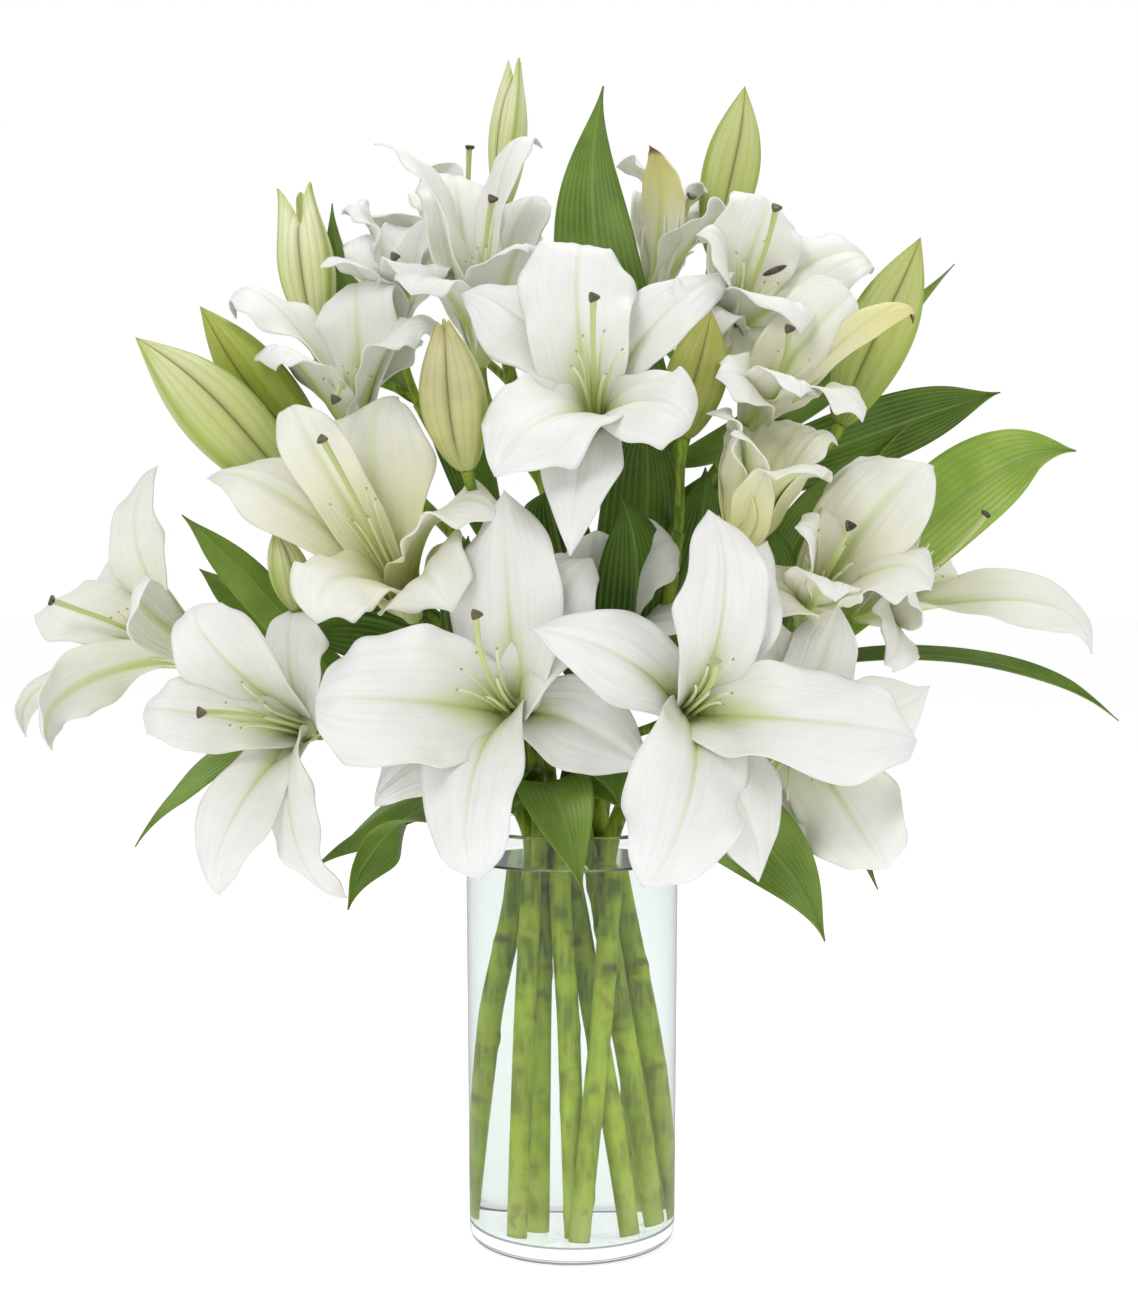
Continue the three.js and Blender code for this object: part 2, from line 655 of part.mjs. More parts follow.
// A stem stands on the vase floor, tapers upwards, bears a few leaves and sends a pedicel to each head.
function stemSolid(name, grow) {
  const curve = stemCurve(name);
  const radiusAt = (s) => STEM_RADIUS + (STEM_TOP_RADIUS - STEM_RADIUS) * s ** 2;
  let solid = rod({ curve, radiusAt, sides: STEM_SIDES, steps: STEM_STEPS, grow });
  for (const [head, share] of Object.entries(STEMS[name].heads)) {
    const { end, facing } = seatOf(head);
    const start = curve.getPointAt(share);
    const span = start.distanceTo(end);
    const leaving = start.clone().addScaledVector(curve.getTangentAt(share), 0.3 * span);
    const arriving = end.clone().addScaledVector(facing, -0.35 * span);
    solid = solid.add(rod({
      curve: new THREE.CubicBezierCurve3(start, leaving, arriving, end),
      radiusAt: () => PEDICEL_RADIUS,
      sides: PEDICEL_SIDES,
      steps: PEDICEL_STEPS,
      grow,
    }));
  }
  for (const leaf of STEMS[name].leaves ?? []) {
    solid = solid.add(leafFrom(name, leaf.share, leaf, grow));
  }
  return solid;
}

function cornerPoints(centreX, centreZ, radius, from, to) {
  const arc = new THREE.Path().absarc(centreX, centreZ, radius, from, to, to < from);
  return arc.getPoints(2);
}

// The vase is pressed glass with a slight draft, a heavy floor and a rounded foot.
function vaseSolid() {
  const innerFoot = VASE_FOOT_RADIUS - VASE_WALL;
  const innerRim = VASE_RIM_RADIUS - VASE_WALL;
  const lip = VASE_WALL / 2;
  const profile = [
    new THREE.Vector2(0, 0),
    ...cornerPoints(VASE_FOOT_RADIUS - VASE_FOOT_ROUND, VASE_FOOT_ROUND, VASE_FOOT_ROUND, -Math.PI / 2, 0),
    ...cornerPoints(innerRim + lip, VASE_HEIGHT - lip, lip, 0, Math.PI),
    ...cornerPoints(
      innerFoot - VASE_INNER_ROUND, VASE_FLOOR + VASE_INNER_ROUND, VASE_INNER_ROUND, 0, -Math.PI / 2,
    ),
    new THREE.Vector2(0, VASE_FLOOR),
  ];
  const geometry = new THREE.LatheGeometry(profile, VASE_SIDES);
  return solidOf(geometry.rotateX(Math.PI / 2));
}

function waterSolid() {
  const innerFoot = VASE_FOOT_RADIUS - VASE_WALL;
  const draft = (VASE_RIM_RADIUS - VASE_FOOT_RADIUS) / VASE_HEIGHT;
  const profile = [
    new THREE.Vector2(0, VASE_FLOOR + GAP),
    ...cornerPoints(
      innerFoot - VASE_INNER_ROUND - GAP, VASE_FLOOR + VASE_INNER_ROUND + GAP, VASE_INNER_ROUND,
      -Math.PI / 2, 0,
    ),
    new THREE.Vector2(innerFoot + draft * WATER_LEVEL - GAP, WATER_LEVEL),
    new THREE.Vector2(0, WATER_LEVEL),
  ];
  const geometry = new THREE.LatheGeometry(profile, VASE_SIDES);
  return solidOf(geometry.rotateX(Math.PI / 2));
}

const group = new THREE.Group();
const placed = [];

function boxesMeet(a, b) {
  return [0, 1, 2].every((i) => a.min[i] < b.max[i] && b.min[i] < a.max[i]);
}

// Adds a piece, cut back from every piece placed before it that it would run into.
function place(name, shape, material) {
  let solid = shape(0);
  for (const other of placed) {
    if (boxesMeet(solid.boundingBox(), other.boundingBox())) solid = solid.subtract(other);
  }
  placed.push(shape(GAP));
  group.add(meshOf(name, cleaned(solid), material));
}

for (const name of Object.keys(STEMS)) {
  place(name, (grow) => stemSolid(name, grow), MATERIALS.stem_green);
}
group.add(meshOf("vase", vaseSolid(), MATERIALS.glass));
let water = waterSolid();
for (const stem of placed) water = water.subtract(stem);
group.add(meshOf("water", cleaned(water), MATERIALS.water));

for (const bloom of OPEN_FRONT) {
  const name = bloom.replace("bloom", "pistil");
  place(name, (grow) => pistil(BLOOMS[bloom], SEAT_GAP, grow), MATERIALS.pistil_green);
}
for (const name of Object.keys(BLOOMS)) {
  place(name, (grow) => bloomSolid(name, grow), MATERIALS.petal_white);
}
for (const name of Object.keys(BUDS)) {
  place(name, (grow) => budSolid(name, grow), MATERIALS.bud_green);
}
for (const name of Object.keys(LEAVES)) {
  place(name, (grow) => leafSolid(name, grow), MATERIALS.leaf_green);
}

export default group;
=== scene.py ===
import math
import random

import bmesh
import bpy
from mathutils import Matrix, Vector


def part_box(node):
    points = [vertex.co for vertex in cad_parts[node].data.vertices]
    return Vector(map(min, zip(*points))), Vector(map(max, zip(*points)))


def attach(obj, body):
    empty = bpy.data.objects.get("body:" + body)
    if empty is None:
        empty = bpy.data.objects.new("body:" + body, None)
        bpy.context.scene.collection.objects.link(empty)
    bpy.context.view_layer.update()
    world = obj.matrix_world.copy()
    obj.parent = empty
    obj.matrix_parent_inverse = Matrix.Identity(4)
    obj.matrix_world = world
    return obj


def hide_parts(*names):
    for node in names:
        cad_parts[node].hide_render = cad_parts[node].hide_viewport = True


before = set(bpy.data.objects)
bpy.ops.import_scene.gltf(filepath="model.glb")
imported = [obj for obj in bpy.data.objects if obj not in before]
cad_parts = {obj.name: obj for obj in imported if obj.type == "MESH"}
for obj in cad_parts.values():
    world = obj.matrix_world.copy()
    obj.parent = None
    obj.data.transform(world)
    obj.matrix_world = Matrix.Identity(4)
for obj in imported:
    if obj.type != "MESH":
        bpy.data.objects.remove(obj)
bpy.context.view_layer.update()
MM = 0.001


# -------------------------------------------------------------------------------------------------
# Vase: a florist's cylinder of clear pressed glass, 4 inches by 8, with a slight draft, a heavy
# floor, a rounded foot and a fire-polished rim. It stands free on its flat underside.
vase_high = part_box("vase")[1]
VASE_HEIGHT = vase_high.z
VASE_RIM_RADIUS = vase_high.x
VASE_DRAFT = 1.5 * MM
VASE_FOOT_RADIUS = VASE_RIM_RADIUS - VASE_DRAFT
VASE_WALL = 3 * MM
VASE_FLOOR = 8 * MM
FOOT_ROUND = 6 * MM
INNER_ROUND = 4 * MM
TURNING_STEPS = 128
BEND_STEP = 0.4 * MM


def arc(centre_x, centre_z, radius, start, end, steps=8):
    """Points of a round corner in the XZ plane, with its angles in degrees."""
    turns = [math.radians(start + (end - start) * i / steps) for i in range(steps + 1)]
    return [(centre_x + radius * math.cos(a), centre_z + radius * math.sin(a)) for a in turns]


def turned(name, outline, material):
    """A mesh object spun round the vase's axis from an outline that starts and ends on it."""
    # Short steps beside every bend keep the smooth shading of the straight walls true.
    points = outline[:1]
    for (x1, z1), (x2, z2) in zip(outline, outline[1:]):
        length = math.hypot(x2 - x1, z2 - z1)
        if length > BEND_STEP * 4:
            for off in (BEND_STEP, 3 * BEND_STEP, length - 3 * BEND_STEP, length - BEND_STEP):
                points.append((x1 + (x2 - x1) * off / length, z1 + (z2 - z1) * off / length))
        points.append((x2, z2))
    bm = bmesh.new()
    verts = [bm.verts.new((x, 0, z)) for x, z in points]
    edges = [bm.edges.new(pair) for pair in zip(verts, verts[1:])]
    bmesh.ops.spin(
        bm, geom=verts + edges, cent=(0, 0, 0), axis=(0, 0, 1), angle=2 * math.pi,
        steps=TURNING_STEPS, use_merge=True,
    )
    bmesh.ops.remove_doubles(bm, verts=bm.verts, dist=1e-6)
    bmesh.ops.recalc_face_normals(bm, faces=bm.faces)
    return finished(name, bm, material)


def finished(name, bm, *materials):
    """Puts a bmesh into the scene as a smooth-shaded object at the origin, with its materials."""
    mesh = bpy.data.meshes.new(name)
    bm.to_mesh(mesh)
    bm.free()
    mesh.shade_smooth()
    for material in materials:
        mesh.materials.append(material)
    piece = bpy.data.objects.new(name, mesh)
    bpy.context.scene.collection.objects.link(piece)
    return piece


def new_material(name):
    """A material with its node tree, and the tree's Principled shader."""
    material = bpy.data.materials.new(name)
    material.use_nodes = True
    return material, material.node_tree, material.node_tree.nodes["Principled BSDF"]


def set_sockets(node, values):
    """Sets constants on a node's own input sockets, by name."""
    for socket, value in values.items():
        node.inputs[socket].default_value = value


def raise_surface(tree, shader, height, strength, distance):
    """Lets a height that changes over the surface stand out as relief."""
    node = tree.nodes.new("ShaderNodeBump")
    set_sockets(node, {"Strength": strength, "Distance": distance})
    tree.links.new(height, node.inputs["Height"])
    tree.links.new(node.outputs["Normal"], shader.inputs["Normal"])


def clear_material(name, colour, ior, ripple_scale, ripple_detail, strength, distance):
    """A clear material whose surface is bent a little by slow ripples."""
    material, tree, shader = new_material(name)
    set_sockets(shader, {
        "Base Color": (*colour, 1), "Transmission Weight": 1, "Roughness": 0, "IOR": ior,
    })
    place = tree.nodes.new("ShaderNodeTexCoord")
    ripples = tree.nodes.new("ShaderNodeTexNoise")
    set_sockets(ripples, {"Scale": ripple_scale, "Detail": ripple_detail})
    tree.links.new(place.outputs["Object"], ripples.inputs["Vector"])
    raise_surface(tree, shader, ripples.outputs["Fac"], strength, distance)
    return material


inner_foot = VASE_FOOT_RADIUS - VASE_WALL
inner_rim = VASE_RIM_RADIUS - VASE_WALL
lip = VASE_WALL / 2
glass = clear_material(
    "clear_pressed_glass", (0.90, 0.935, 0.93), ior=1.5,
    ripple_scale=14, ripple_detail=1, strength=0.06, distance=0.002,
)
vase = turned("vase_glass", [
    (0, 0),
    *arc(VASE_FOOT_RADIUS - FOOT_ROUND, FOOT_ROUND, FOOT_ROUND, -90, 0),
    *arc(inner_rim + lip, VASE_HEIGHT - lip, lip, 0, 180),
    *arc(inner_foot - INNER_ROUND, VASE_FLOOR + INNER_ROUND, INNER_ROUND, 0, -90),
    (0, VASE_FLOOR),
], glass)
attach(vase, "root")
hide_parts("vase")


# -------------------------------------------------------------------------------------------------
# Water: it fills the vase almost to the rim and wets the glass, so its skin reaches a hair into
# the wall and turns up in a small meniscus. The stems stand straight in it.
WATER_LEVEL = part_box("water")[1].z
WETTED = 0.3 * MM
MENISCUS = 1.5 * MM
MENISCUS_WIDTH = 3 * MM
MENISCUS_ROUND = 2.5 * MM

surface_radius = inner_foot + VASE_DRAFT * WATER_LEVEL / VASE_HEIGHT + WETTED
clear_water = clear_material(
    "clear_water", (0.985, 0.995, 0.98), ior=1.333,
    ripple_scale=20, ripple_detail=2, strength=0.02, distance=0.001,
)
water = turned("water_body", [
    (0, VASE_FLOOR - WETTED),
    *arc(
        inner_foot + WETTED - INNER_ROUND, VASE_FLOOR - WETTED + INNER_ROUND, INNER_ROUND, -90, 0,
    ),
    (surface_radius, WATER_LEVEL + MENISCUS),
    *arc(
        surface_radius - MENISCUS_WIDTH, WATER_LEVEL + MENISCUS_ROUND, MENISCUS_ROUND, -20, -90,
        steps=5,
    ),
    (0, WATER_LEVEL),
], clear_water)
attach(water, "root")
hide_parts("water")


# -------------------------------------------------------------------------------------------------
# Stems: nine cut stems, hand-tied so that they cross below the rim. Each stands on the vase floor
# on a slanting cut, tapers upwards and branches into the pedicels that carry its blooms and buds.
STEM_RADIUS = 4.7
STEM_TOP_RADIUS = 3.0
PEDICEL_RADIUS = 2.3
PEDICEL_FLARE = 0.9
STEM_SIDES = 18
PEDICEL_SIDES = 12
PEDICEL_STEPS = 30
WALK_SPACING = 1.6
SPLINE_STEPS = 40
FOOT_GAP = 0.3
NECK_HEIGHT = 200
# The stripped leaves have left scars, from low on the stem up to where it is still leafy.
LOWEST_SCAR = 28
SCAR_SPACING = 38
LEAFY_TOP = 60

# The stems: where each is cut and where it passes the neck, the points it grows through above, and
# how far up it the pedicel of each bloom and bud leaves.
STEMS = {
    "stem_far_left": {
        "foot": (-39, 5), "neck": (-21.5, 4),
        "path": [(-44, 9, 228), (-80, 13, 247), (-110, 13, 259)],
        "heads": {"bloom_left_low": 0.93, "bloom_far_left": 1, "bud_left_small": 0.99},
    },
    "stem_front_left": {
        "foot": (-24, -28), "neck": (-15.5, -11.3),
        "path": [(-18, -14, 240), (-24, -18, 290), (-38, -36, 345)],
        "heads": {"bloom_front_centre": 0.62, "bud_centre": 1},
    },
    "stem_middle_left": {
        "foot": (-13.5, -12.1), "neck": (-11.5, -1.4),
        "path": [(-15, 22, 260), (-32, 45, 320), (-58, 60, 375), (-80, 66, 415)],
        "heads": {"bloom_top_left_rear": 0.97, "bud_left_opened": 1},
    },
    "stem_front_middle": {
        "foot": (1.5, -24.6), "neck": (-4, -12.7),
        "path": [(4, -20, 232), (22, -28, 262), (42, -30, 300), (50, -34, 345)],
        "heads": {"bloom_front_right": 0.63, "bloom_half_open": 0.84, "bud_right_centre": 1},
    },
    "stem_left_leaning": {
        "foot": (25, -27.3), "neck": (-6, 7.6),
        "path": [(-24, 14, 240), (-50, 18, 280), (-90, 20, 325)],
        "heads": {"bloom_left": 0.76, "bud_far_left": 1},
    },
    "stem_right_inner": {
        "foot": (32.5, -5.7), "neck": (6, -1.6),
        "path": [(-6, 4, 250), (-22, 22, 295), (-55, 36, 340), (-82, 44, 368)],
        "heads": {"bloom_inner": 0.6, "bloom_left_high": 1, "bud_left": 0.99},
    },
    "stem_far_right": {
        "foot": (41, 2.3), "neck": (13.5, 5.9),
        "path": [(8, 24, 262), (-2, 40, 330), (-20, 52, 390), (-34, 62, 440), (-36, 67, 485)],
        "heads": {
            "bloom_centre_high": 0.62, "bloom_top_left": 0.74, "bloom_top_rear": 0.86,
            "bud_top": 1,
        },
    },
    "stem_front_right": {
        "foot": (3, -36.8), "neck": (20, -7.8),
        "path": [(36, -8, 230), (64, -4, 254), (92, 2, 272), (112, 8, 284)],
        "heads": {"bloom_right_low": 0.87, "bloom_right": 0.93, "bloom_far_right": 1},
    },
    "stem_rear": {
        "foot": (22.5, 30), "neck": (14, 16.5),
        "path": [(22, 26, 260), (36, 32, 320), (50, 36, 372), (58, 44, 420), (64, 52, 452)],
        "heads": {
            "bloom_right_high": 0.66, "bud_far_right": 0.76, "bloom_top_right": 0.86,
            "bloom_top_right_rear": 0.93, "bud_top_right": 1,
        },
    },
}

# The blooms: where the pedicel ends, the stigma's offset from there, and for each tepal the
# offset of its tip, its width, how far it is rolled about its own length, and how strongly its
# tip curls back.
BLOOMS = {
    "bloom_front_right": {
        "base": (49, -60, 260), "pistil": (9, -100, 29), "flush": 0.1,
        "tepals": [
            (-19, -63, -69, 54, 0, 1.5), (32, -48, -69, 42, 0, 1.4), (102, -40, -8, 54, -8, 1.1),
            (39, -12, 80, 38, 0, 1), (11, -35, 93, 44, 0, 0.9), (-67, -42, 41, 42, 0, 1),
        ],
    },
    "bloom_front_centre": {
        "base": (-24, -50, 259), "pistil": (-16, -98, 49), "flush": 0.1,
        "tepals": [
            (-89, -38, 8, 64, 0, 1.3), (-66, -14, -40, 36, 0, 1.6), (-16, -58, -67, 46, 0, 1.6),
            (60, -14, -24, 44, 0, 1), (33, -16, 73, 42, 0, 1.2), (-7, -12, 104, 54, 0, 1),
        ],
    },
    "bloom_inner": {
        "base": (16, -8, 288), "pistil": (0, -22, 36), "flush": 0.1,
        "tepals": [
            (34, -24, 48, 40, 0, 1.4), (-4, -12, 58, 36, 0, 1), (-36, -22, 40, 40, 0, 1.4),
            (-36, -40, 6, 32, 0, 1.2), (2, -52, -2, 38, 0, 1.4), (40, -40, 10, 34, 0, 1.2),
        ],
    },
    "bloom_left_low": {
        "base": (-123, -20, 249), "pistil": (-38, -92, 16), "flush": 0.15,
        "tepals": [
            (-73, -34, 12, 36, 12, 1.6), (-38, -48, -70, 34, -16, 2.2),
            (20, -46, -72, 32, 20, 2.2), (40, -2, 20, 32, 0, 1), (-8, 0, 60, 36, 0, 1.2),
            (-41, -42, 58, 42, 0, 2.2),
        ],
    },
    "bloom_centre_high": {
        "base": (12, -30, 391), "pistil": (-3, -82, 53), "flush": 0.12,
        "tepals": [
            (-46, -68, -23, 54, 0, 1.3), (-13, -74, -58, 36, 0, 1.3), (39, -55, -2, 42, 0, 2.0),
            (66, 16, 79, 36, 0, 1), (-4, 10, 84, 53, 0, 1.7), (-65, 12, 68, 48, 0, 1),
        ],
    },
    "bloom_left": {
        "base": (-76, -10, 303), "pistil": (-35, -78, 82), "flush": 0.7,
        "tepals": [
            (-38, -72, 0, 44, -20, 1.8), (22, -78, 6, 52, 20, 1.5), (44, -62, 46, 48, -25, 1.2),
            (-10, 24, 110, 62, 0, 1), (-58, -12, 101, 30, 0, 1.2), (-98, -10, 68, 42, 0, 0.9),
        ],
    },
    "bloom_half_open": {
        "base": (71, -50, 318), "pistil": (14, -25, 50), "flush": 1.0,
        "tepals": [
            (39, -46, 49, 38, 0, 0.8), (50, -12, 66, 34, 0, 1.2), (42, 18, 74, 32, 0, 0.8),
            (4, 24, 80, 32, 0, 0.6), (-10, -16, 80, 38, 0, 0.7), (-1, -38, 69, 36, 0, 0.7),
        ],
    },
    "bloom_right": {
        "base": (108, -30, 301), "pistil": (13, -74, 45), "flush": 0.5,
        "tepals": [
            (-32, -40, 18, 32, 0, 1), (8, -65, 12, 36, 0, 1), (53, -48, 17, 42, 0, 1.1),
            (59, -20, 74, 50, 0, 0.9), (37, 0, 80, 40, 0, 1), (-8, -48, 45, 34, 0, 1),
        ],
    },
    "bloom_far_left": {
        "base": (-162, 0, 280), "pistil": (-86, -25, 33), "flush": 0.35,
        "tepals": [
            (-91, 12, 28, 38, 25, 1), (-108, 8, -34, 27, 45, 1.4), (-82, -42, -37, 32, 45, 1.4),
            (-29, -70, 43, 30, 0, 1.2), (-39, -5, 98, 29, 50, 0.8), (-71, 55, 54, 36, 20, 1),
        ],
    },
    "bloom_far_right": {
        "base": (138, 15, 303), "pistil": (64, -17, 52), "flush": 0.35,
        "tepals": [
            (9, -53, -20, 34, 0, 1), (113, -27, -16, 38, 60, 0.9), (63, 70, 10, 40, 0, 1),
            (45, 50, 40, 36, 0, 1), (32, 27, 51, 36, 0, 1), (17, -50, 20, 36, 0, 1),
        ],
    },
    "bloom_right_low": {
        "base": (103, -30, 256), "pistil": (-33, -55, -46), "flush": 0.35,
        "tepals": [
            (-40, -16, -22, 34, 0, 1), (-7, -30, -62, 40, 0, 1), (40, -38, -65, 48, 0, 1.2),
            (60, -35, 18, 42, 0, 1), (20, -20, 55, 36, 0, 1), (-10, -20, 50, 36, 0, 1),
        ],
    },
    "bloom_right_high": {
        "base": (81, -20, 392), "pistil": (17, -50, 44), "flush": 0.45, "dry": 3,
        "tepals": [
            (-16, -48, 22, 34, 0, 1), (21, -60, 12, 36, 0, 1), (50, -50, 2, 32, 0, 1.3),
            (77, -25, 50, 20, 0, 1.9), (52, -8, 62, 40, 0, 1), (12, 30, 58, 36, 0, 1),
        ],
    },
    "bloom_top_left": {
        "base": (-46, 30, 429), "pistil": (8, -50, 75), "flush": 0.2,
        "tepals": [
            (-30, -60, 28, 42, 0, 1), (25, -45, 50, 40, 0, 1), (31, 0, 110, 24, 0, 1.2),
            (30, 40, 90, 38, 0, 1), (-16, 45, 100, 42, 0, 1), (-51, -22, 107, 40, 0, 0.3),
        ],
    },
    "bloom_top_rear": {
        "base": (-55, 90, 457), "pistil": (0, 10, 98), "flush": 0.2,
        "tepals": [
            (40, 55, 50, 40, 0, 1), (6, 66, 30, 36, 0, 1), (-30, 58, 70, 40, 0, 1),
            (-58, -2, 56, 40, 0, 1), (-26, 10, 84, 36, 0, 1), (42, 0, 66, 40, 0, 1),
        ],
    },
    "bloom_left_high": {
        "base": (-107, 30, 391), "pistil": (-5, -60, 17), "flush": 0.2,
        "tepals": [
            (-60, -10, 62, 42, 0, 1.9), (-36, -38, 33, 44, 0, 1.8), (40, -30, 47, 44, 0, 1.8),
            (30, 30, 55, 40, 0, 1), (-2, 10, 70, 44, 0, 1.9), (-20, 50, 50, 38, 0, 1),
        ],
    },
    "bloom_top_left_rear": {
        "base": (-89, 60, 448), "pistil": (0, -30, 37), "flush": 0.1,
        "tepals": [
            (-28, -15, 61, 42, 0, 0.9), (-36, -40, 30, 36, 0, 1), (22, -50, 20, 42, 0, 1.2),
            (23, -10, 56, 38, 0, 1), (13, 40, 59, 40, 0, 1), (-20, 50, 58, 38, 0, 1),
        ],
    },
    "bloom_top_right": {
        "base": (73, 20, 432), "pistil": (22, -60, 64), "flush": 0.3,
        "tepals": [
            (-20, -60, 8, 42, 0, 1.2), (32, -72, 4, 42, 0, 1.4), (77, 12, 45, 46, 0, 1.2),
            (50, 44, 55, 40, 0, 1), (23, -8, 75, 46, 0, 1), (-14, -44, 54, 42, 0, 1),
        ],
    },
    "bloom_top_right_rear": {
        "base": (41, 40, 460), "pistil": (19, -10, 55), "flush": 0.3, "dry": 5,
        "tepals": [
            (44, -8, 40, 38, 0, 1), (28, 6, 60, 36, 0, 1), (30, 50, 60, 38, 0, 1),
            (4, 60, 60, 38, 0, 1), (-18, 20, 76, 34, 0, 0.5), (-3, -28, 76, 27, 0, 0.4),
        ],
    },
}

# The buds: the end of the pedicel, the tip and the width, how ripe each is, how far it is turned,
# how far its tip has parted, and how tanned it is. Unripe ones are green, the rest turn cream.
BUDS = {
    "bud_top": {
        "base": (-36, 70, 515), "tip": (-29, 78, 597),
        "width": 20, "ripe": 0.85, "turn": 0.3, "parted": 0.7,
    },
    "bud_top_right": {
        "base": (73, 60, 488), "tip": (90, 70, 580),
        "width": 29, "ripe": 0.3, "turn": 1.5,
    },
    "bud_left_opened": {
        "base": (-130, 66, 446), "tip": (-144, 70, 529),
        "width": 29, "ripe": 1.2, "turn": 0.9, "parted": 1.3,
    },
    "bud_left": {
        "base": (-125, 28, 387), "tip": (-185, 20, 459),
        "width": 30, "ripe": 0.0, "turn": 0.2,
    },
    "bud_far_left": {
        "base": (-133, 4, 362), "tip": (-211, -8, 440),
        "width": 38, "ripe": 0.45, "turn": 1.2,
    },
    "bud_centre": {
        "base": (-48, -58, 372), "tip": (-58, -80, 440),
        "width": 30, "ripe": 0.8, "turn": 1.6, "parted": 0.3, "tan": 0.8,
    },
    "bud_right_centre": {
        "base": (52, -42, 388), "tip": (64, -52, 447),
        "width": 28, "ripe": 0.0, "turn": 0.4, "tan": 0.6,
    },
    "bud_far_right": {
        "base": (133, 20, 399), "tip": (172, 14, 492),
        "width": 34, "ripe": 0.2, "turn": 1.9,
    },
    "bud_left_small": {
        "base": (-131, -24, 308), "tip": (-140, -36, 347),
        "width": 19, "ripe": 0.6, "turn": 0.5,
    },
}


def facing_of(bloom):
    """The way a bloom faces: the mean of where its tepals and its pistil point."""
    facing = Vector(bloom["pistil"]).normalized() * 1.5
    for tip in bloom["tepals"]:
        facing += Vector(tip[:3]).normalized()
    return facing.normalized()


def head_seat(head):
    """Where a head's pedicel ends, and the way it points there."""
    if head in BUDS:
        base = Vector(BUDS[head]["base"])
        return base, (Vector(BUDS[head]["tip"]) - base).normalized()
    return Vector(BLOOMS[head]["base"]), facing_of(BLOOMS[head])


def bezier(points, share):
    """Point and tangent of a Bezier curve with three or four control points."""
    while len(points) > 2:
        points = [a.lerp(b, share) for a, b in zip(points, points[1:])]
    return points[0].lerp(points[1], share), (points[1] - points[0]).normalized()


def curve(controls, steps):
    """The points of a Bezier curve, in even steps of its share."""
    return [bezier(controls, i / steps)[0] for i in range(steps + 1)]


def growing_path(points, steps):
    """An even walk along a centripetal spline through the points of a stem."""
    ends = [2 * points[0] - points[1], *points, 2 * points[-1] - points[-2]]
    walk = [points[0]]
    for a, b, c, d in zip(ends, ends[1:], ends[2:], ends[3:]):
        t1 = math.sqrt((b - a).length)
        t2 = t1 + math.sqrt((c - b).length)
        t3 = t2 + math.sqrt((d - c).length)
        for i in range(1, SPLINE_STEPS + 1):
            t = t1 + (t2 - t1) * i / SPLINE_STEPS
            ab = a.lerp(b, t / t1)
            bc = b.lerp(c, (t - t1) / (t2 - t1))
            cd = c.lerp(d, (t - t2) / (t3 - t2))
            first_half, second_half = ab.lerp(bc, t / t2), bc.lerp(cd, (t - t1) / (t3 - t1))
            walk.append(first_half.lerp(second_half, (t - t1) / (t2 - t1)))
    lengths = [0.0]
    for a, b in zip(walk, walk[1:]):
        lengths.append(lengths[-1] + (b - a).length)
    even, j = [], 0
    for i in range(steps + 1):
        wanted = lengths[-1] * i / steps
        while j < len(lengths) - 2 and lengths[j + 1] < wanted:
            j += 1
        share = (wanted - lengths[j]) / (lengths[j + 1] - lengths[j])
        even.append(walk[j].lerp(walk[j + 1], min(share, 1)))
    return even


def rod(bm, path, radius_at, sides, mark_at=None):
    """A round rod along a path in millimetres. Its along layer holds how far up it a vertex is,
    and mark how scarred it is there. mark_at(share, angle) gives the scar and the swelling."""
    along = bm.verts.layers.float["along"]
    mark = bm.verts.layers.float["mark"]
    first = len(bm.verts)
    made = bmesh.ops.create_cone(
        bm, cap_ends=True, segments=sides, radius1=1, radius2=1, depth=1,
        matrix=Matrix.Translation((0, 0, 0.5)),
    )["verts"]
    edges = {edge for v in made for edge in v.link_edges}
    uprights = {edge for edge in edges if abs(edge.verts[0].co.z - edge.verts[1].co.z) > 0.5}
    bmesh.ops.subdivide_edges(bm, edges=list(uprights), cuts=len(path) - 2)
    bm.verts.ensure_lookup_table()
    rings = bm.verts[first:]
    tangents = [(b - a).normalized() for a, b in zip(path, path[1:])]
    tangents.append(tangents[-1])
    side = tangents[0].orthogonal().normalized()
    sides_along = []
    for tangent in tangents:
        side = (side - tangent * side.dot(tangent)).normalized()
        sides_along.append(side)
    for v in rings:
        share = v.co.z
        step = round(share * (len(path) - 1))
        angle = math.atan2(v.co.y, v.co.x)
        scar, swell = mark_at(share, angle) if mark_at else (0, 0)
        radius = radius_at(share) + swell
        across = sides_along[step]
        upward = tangents[step].cross(across)
        v[along] = share
        v[mark] = scar
        v.co = (path[step] + radius * (math.cos(angle) * across + math.sin(angle) * upward)) * MM
    return rings


def plant_mesh():
    """A new bmesh with the vertex layers that the plant materials read, each in its own way."""
    bm = bmesh.new()
    for layer in ("along", "mark", "side", "tint", "vein", "flush"):
        bm.verts.layers.float.new(layer)
    return bm


def stem_points(name):
    """The points that a stem grows through, from the cut on the vase floor to the last head."""
    stem = STEMS[name]
    foot, neck = Vector(stem["foot"]), Vector(stem["neck"])
    lean = (neck - foot).length / (NECK_HEIGHT - VASE_FLOOR / MM)
    floor = VASE_FLOOR / MM + FOOT_GAP + STEM_RADIUS * lean
    middle = (foot + neck) / 2
    return [
        Vector((*foot, floor)), Vector((*middle, (floor + NECK_HEIGHT) / 2)),
        Vector((*neck, NECK_HEIGHT)), *map(Vector, stem["path"]),
    ]


def stem_walk(name):
    """An even walk up a stem."""
    points = stem_points(name)
    rough = sum((b - a).length for a, b in zip(points, points[1:]))
    return growing_path(points, round(rough / WALK_SPACING))


def point_along(walk, share):
    """The point of a walk at a share of its length."""
    return walk[round(share * (len(walk) - 1))]


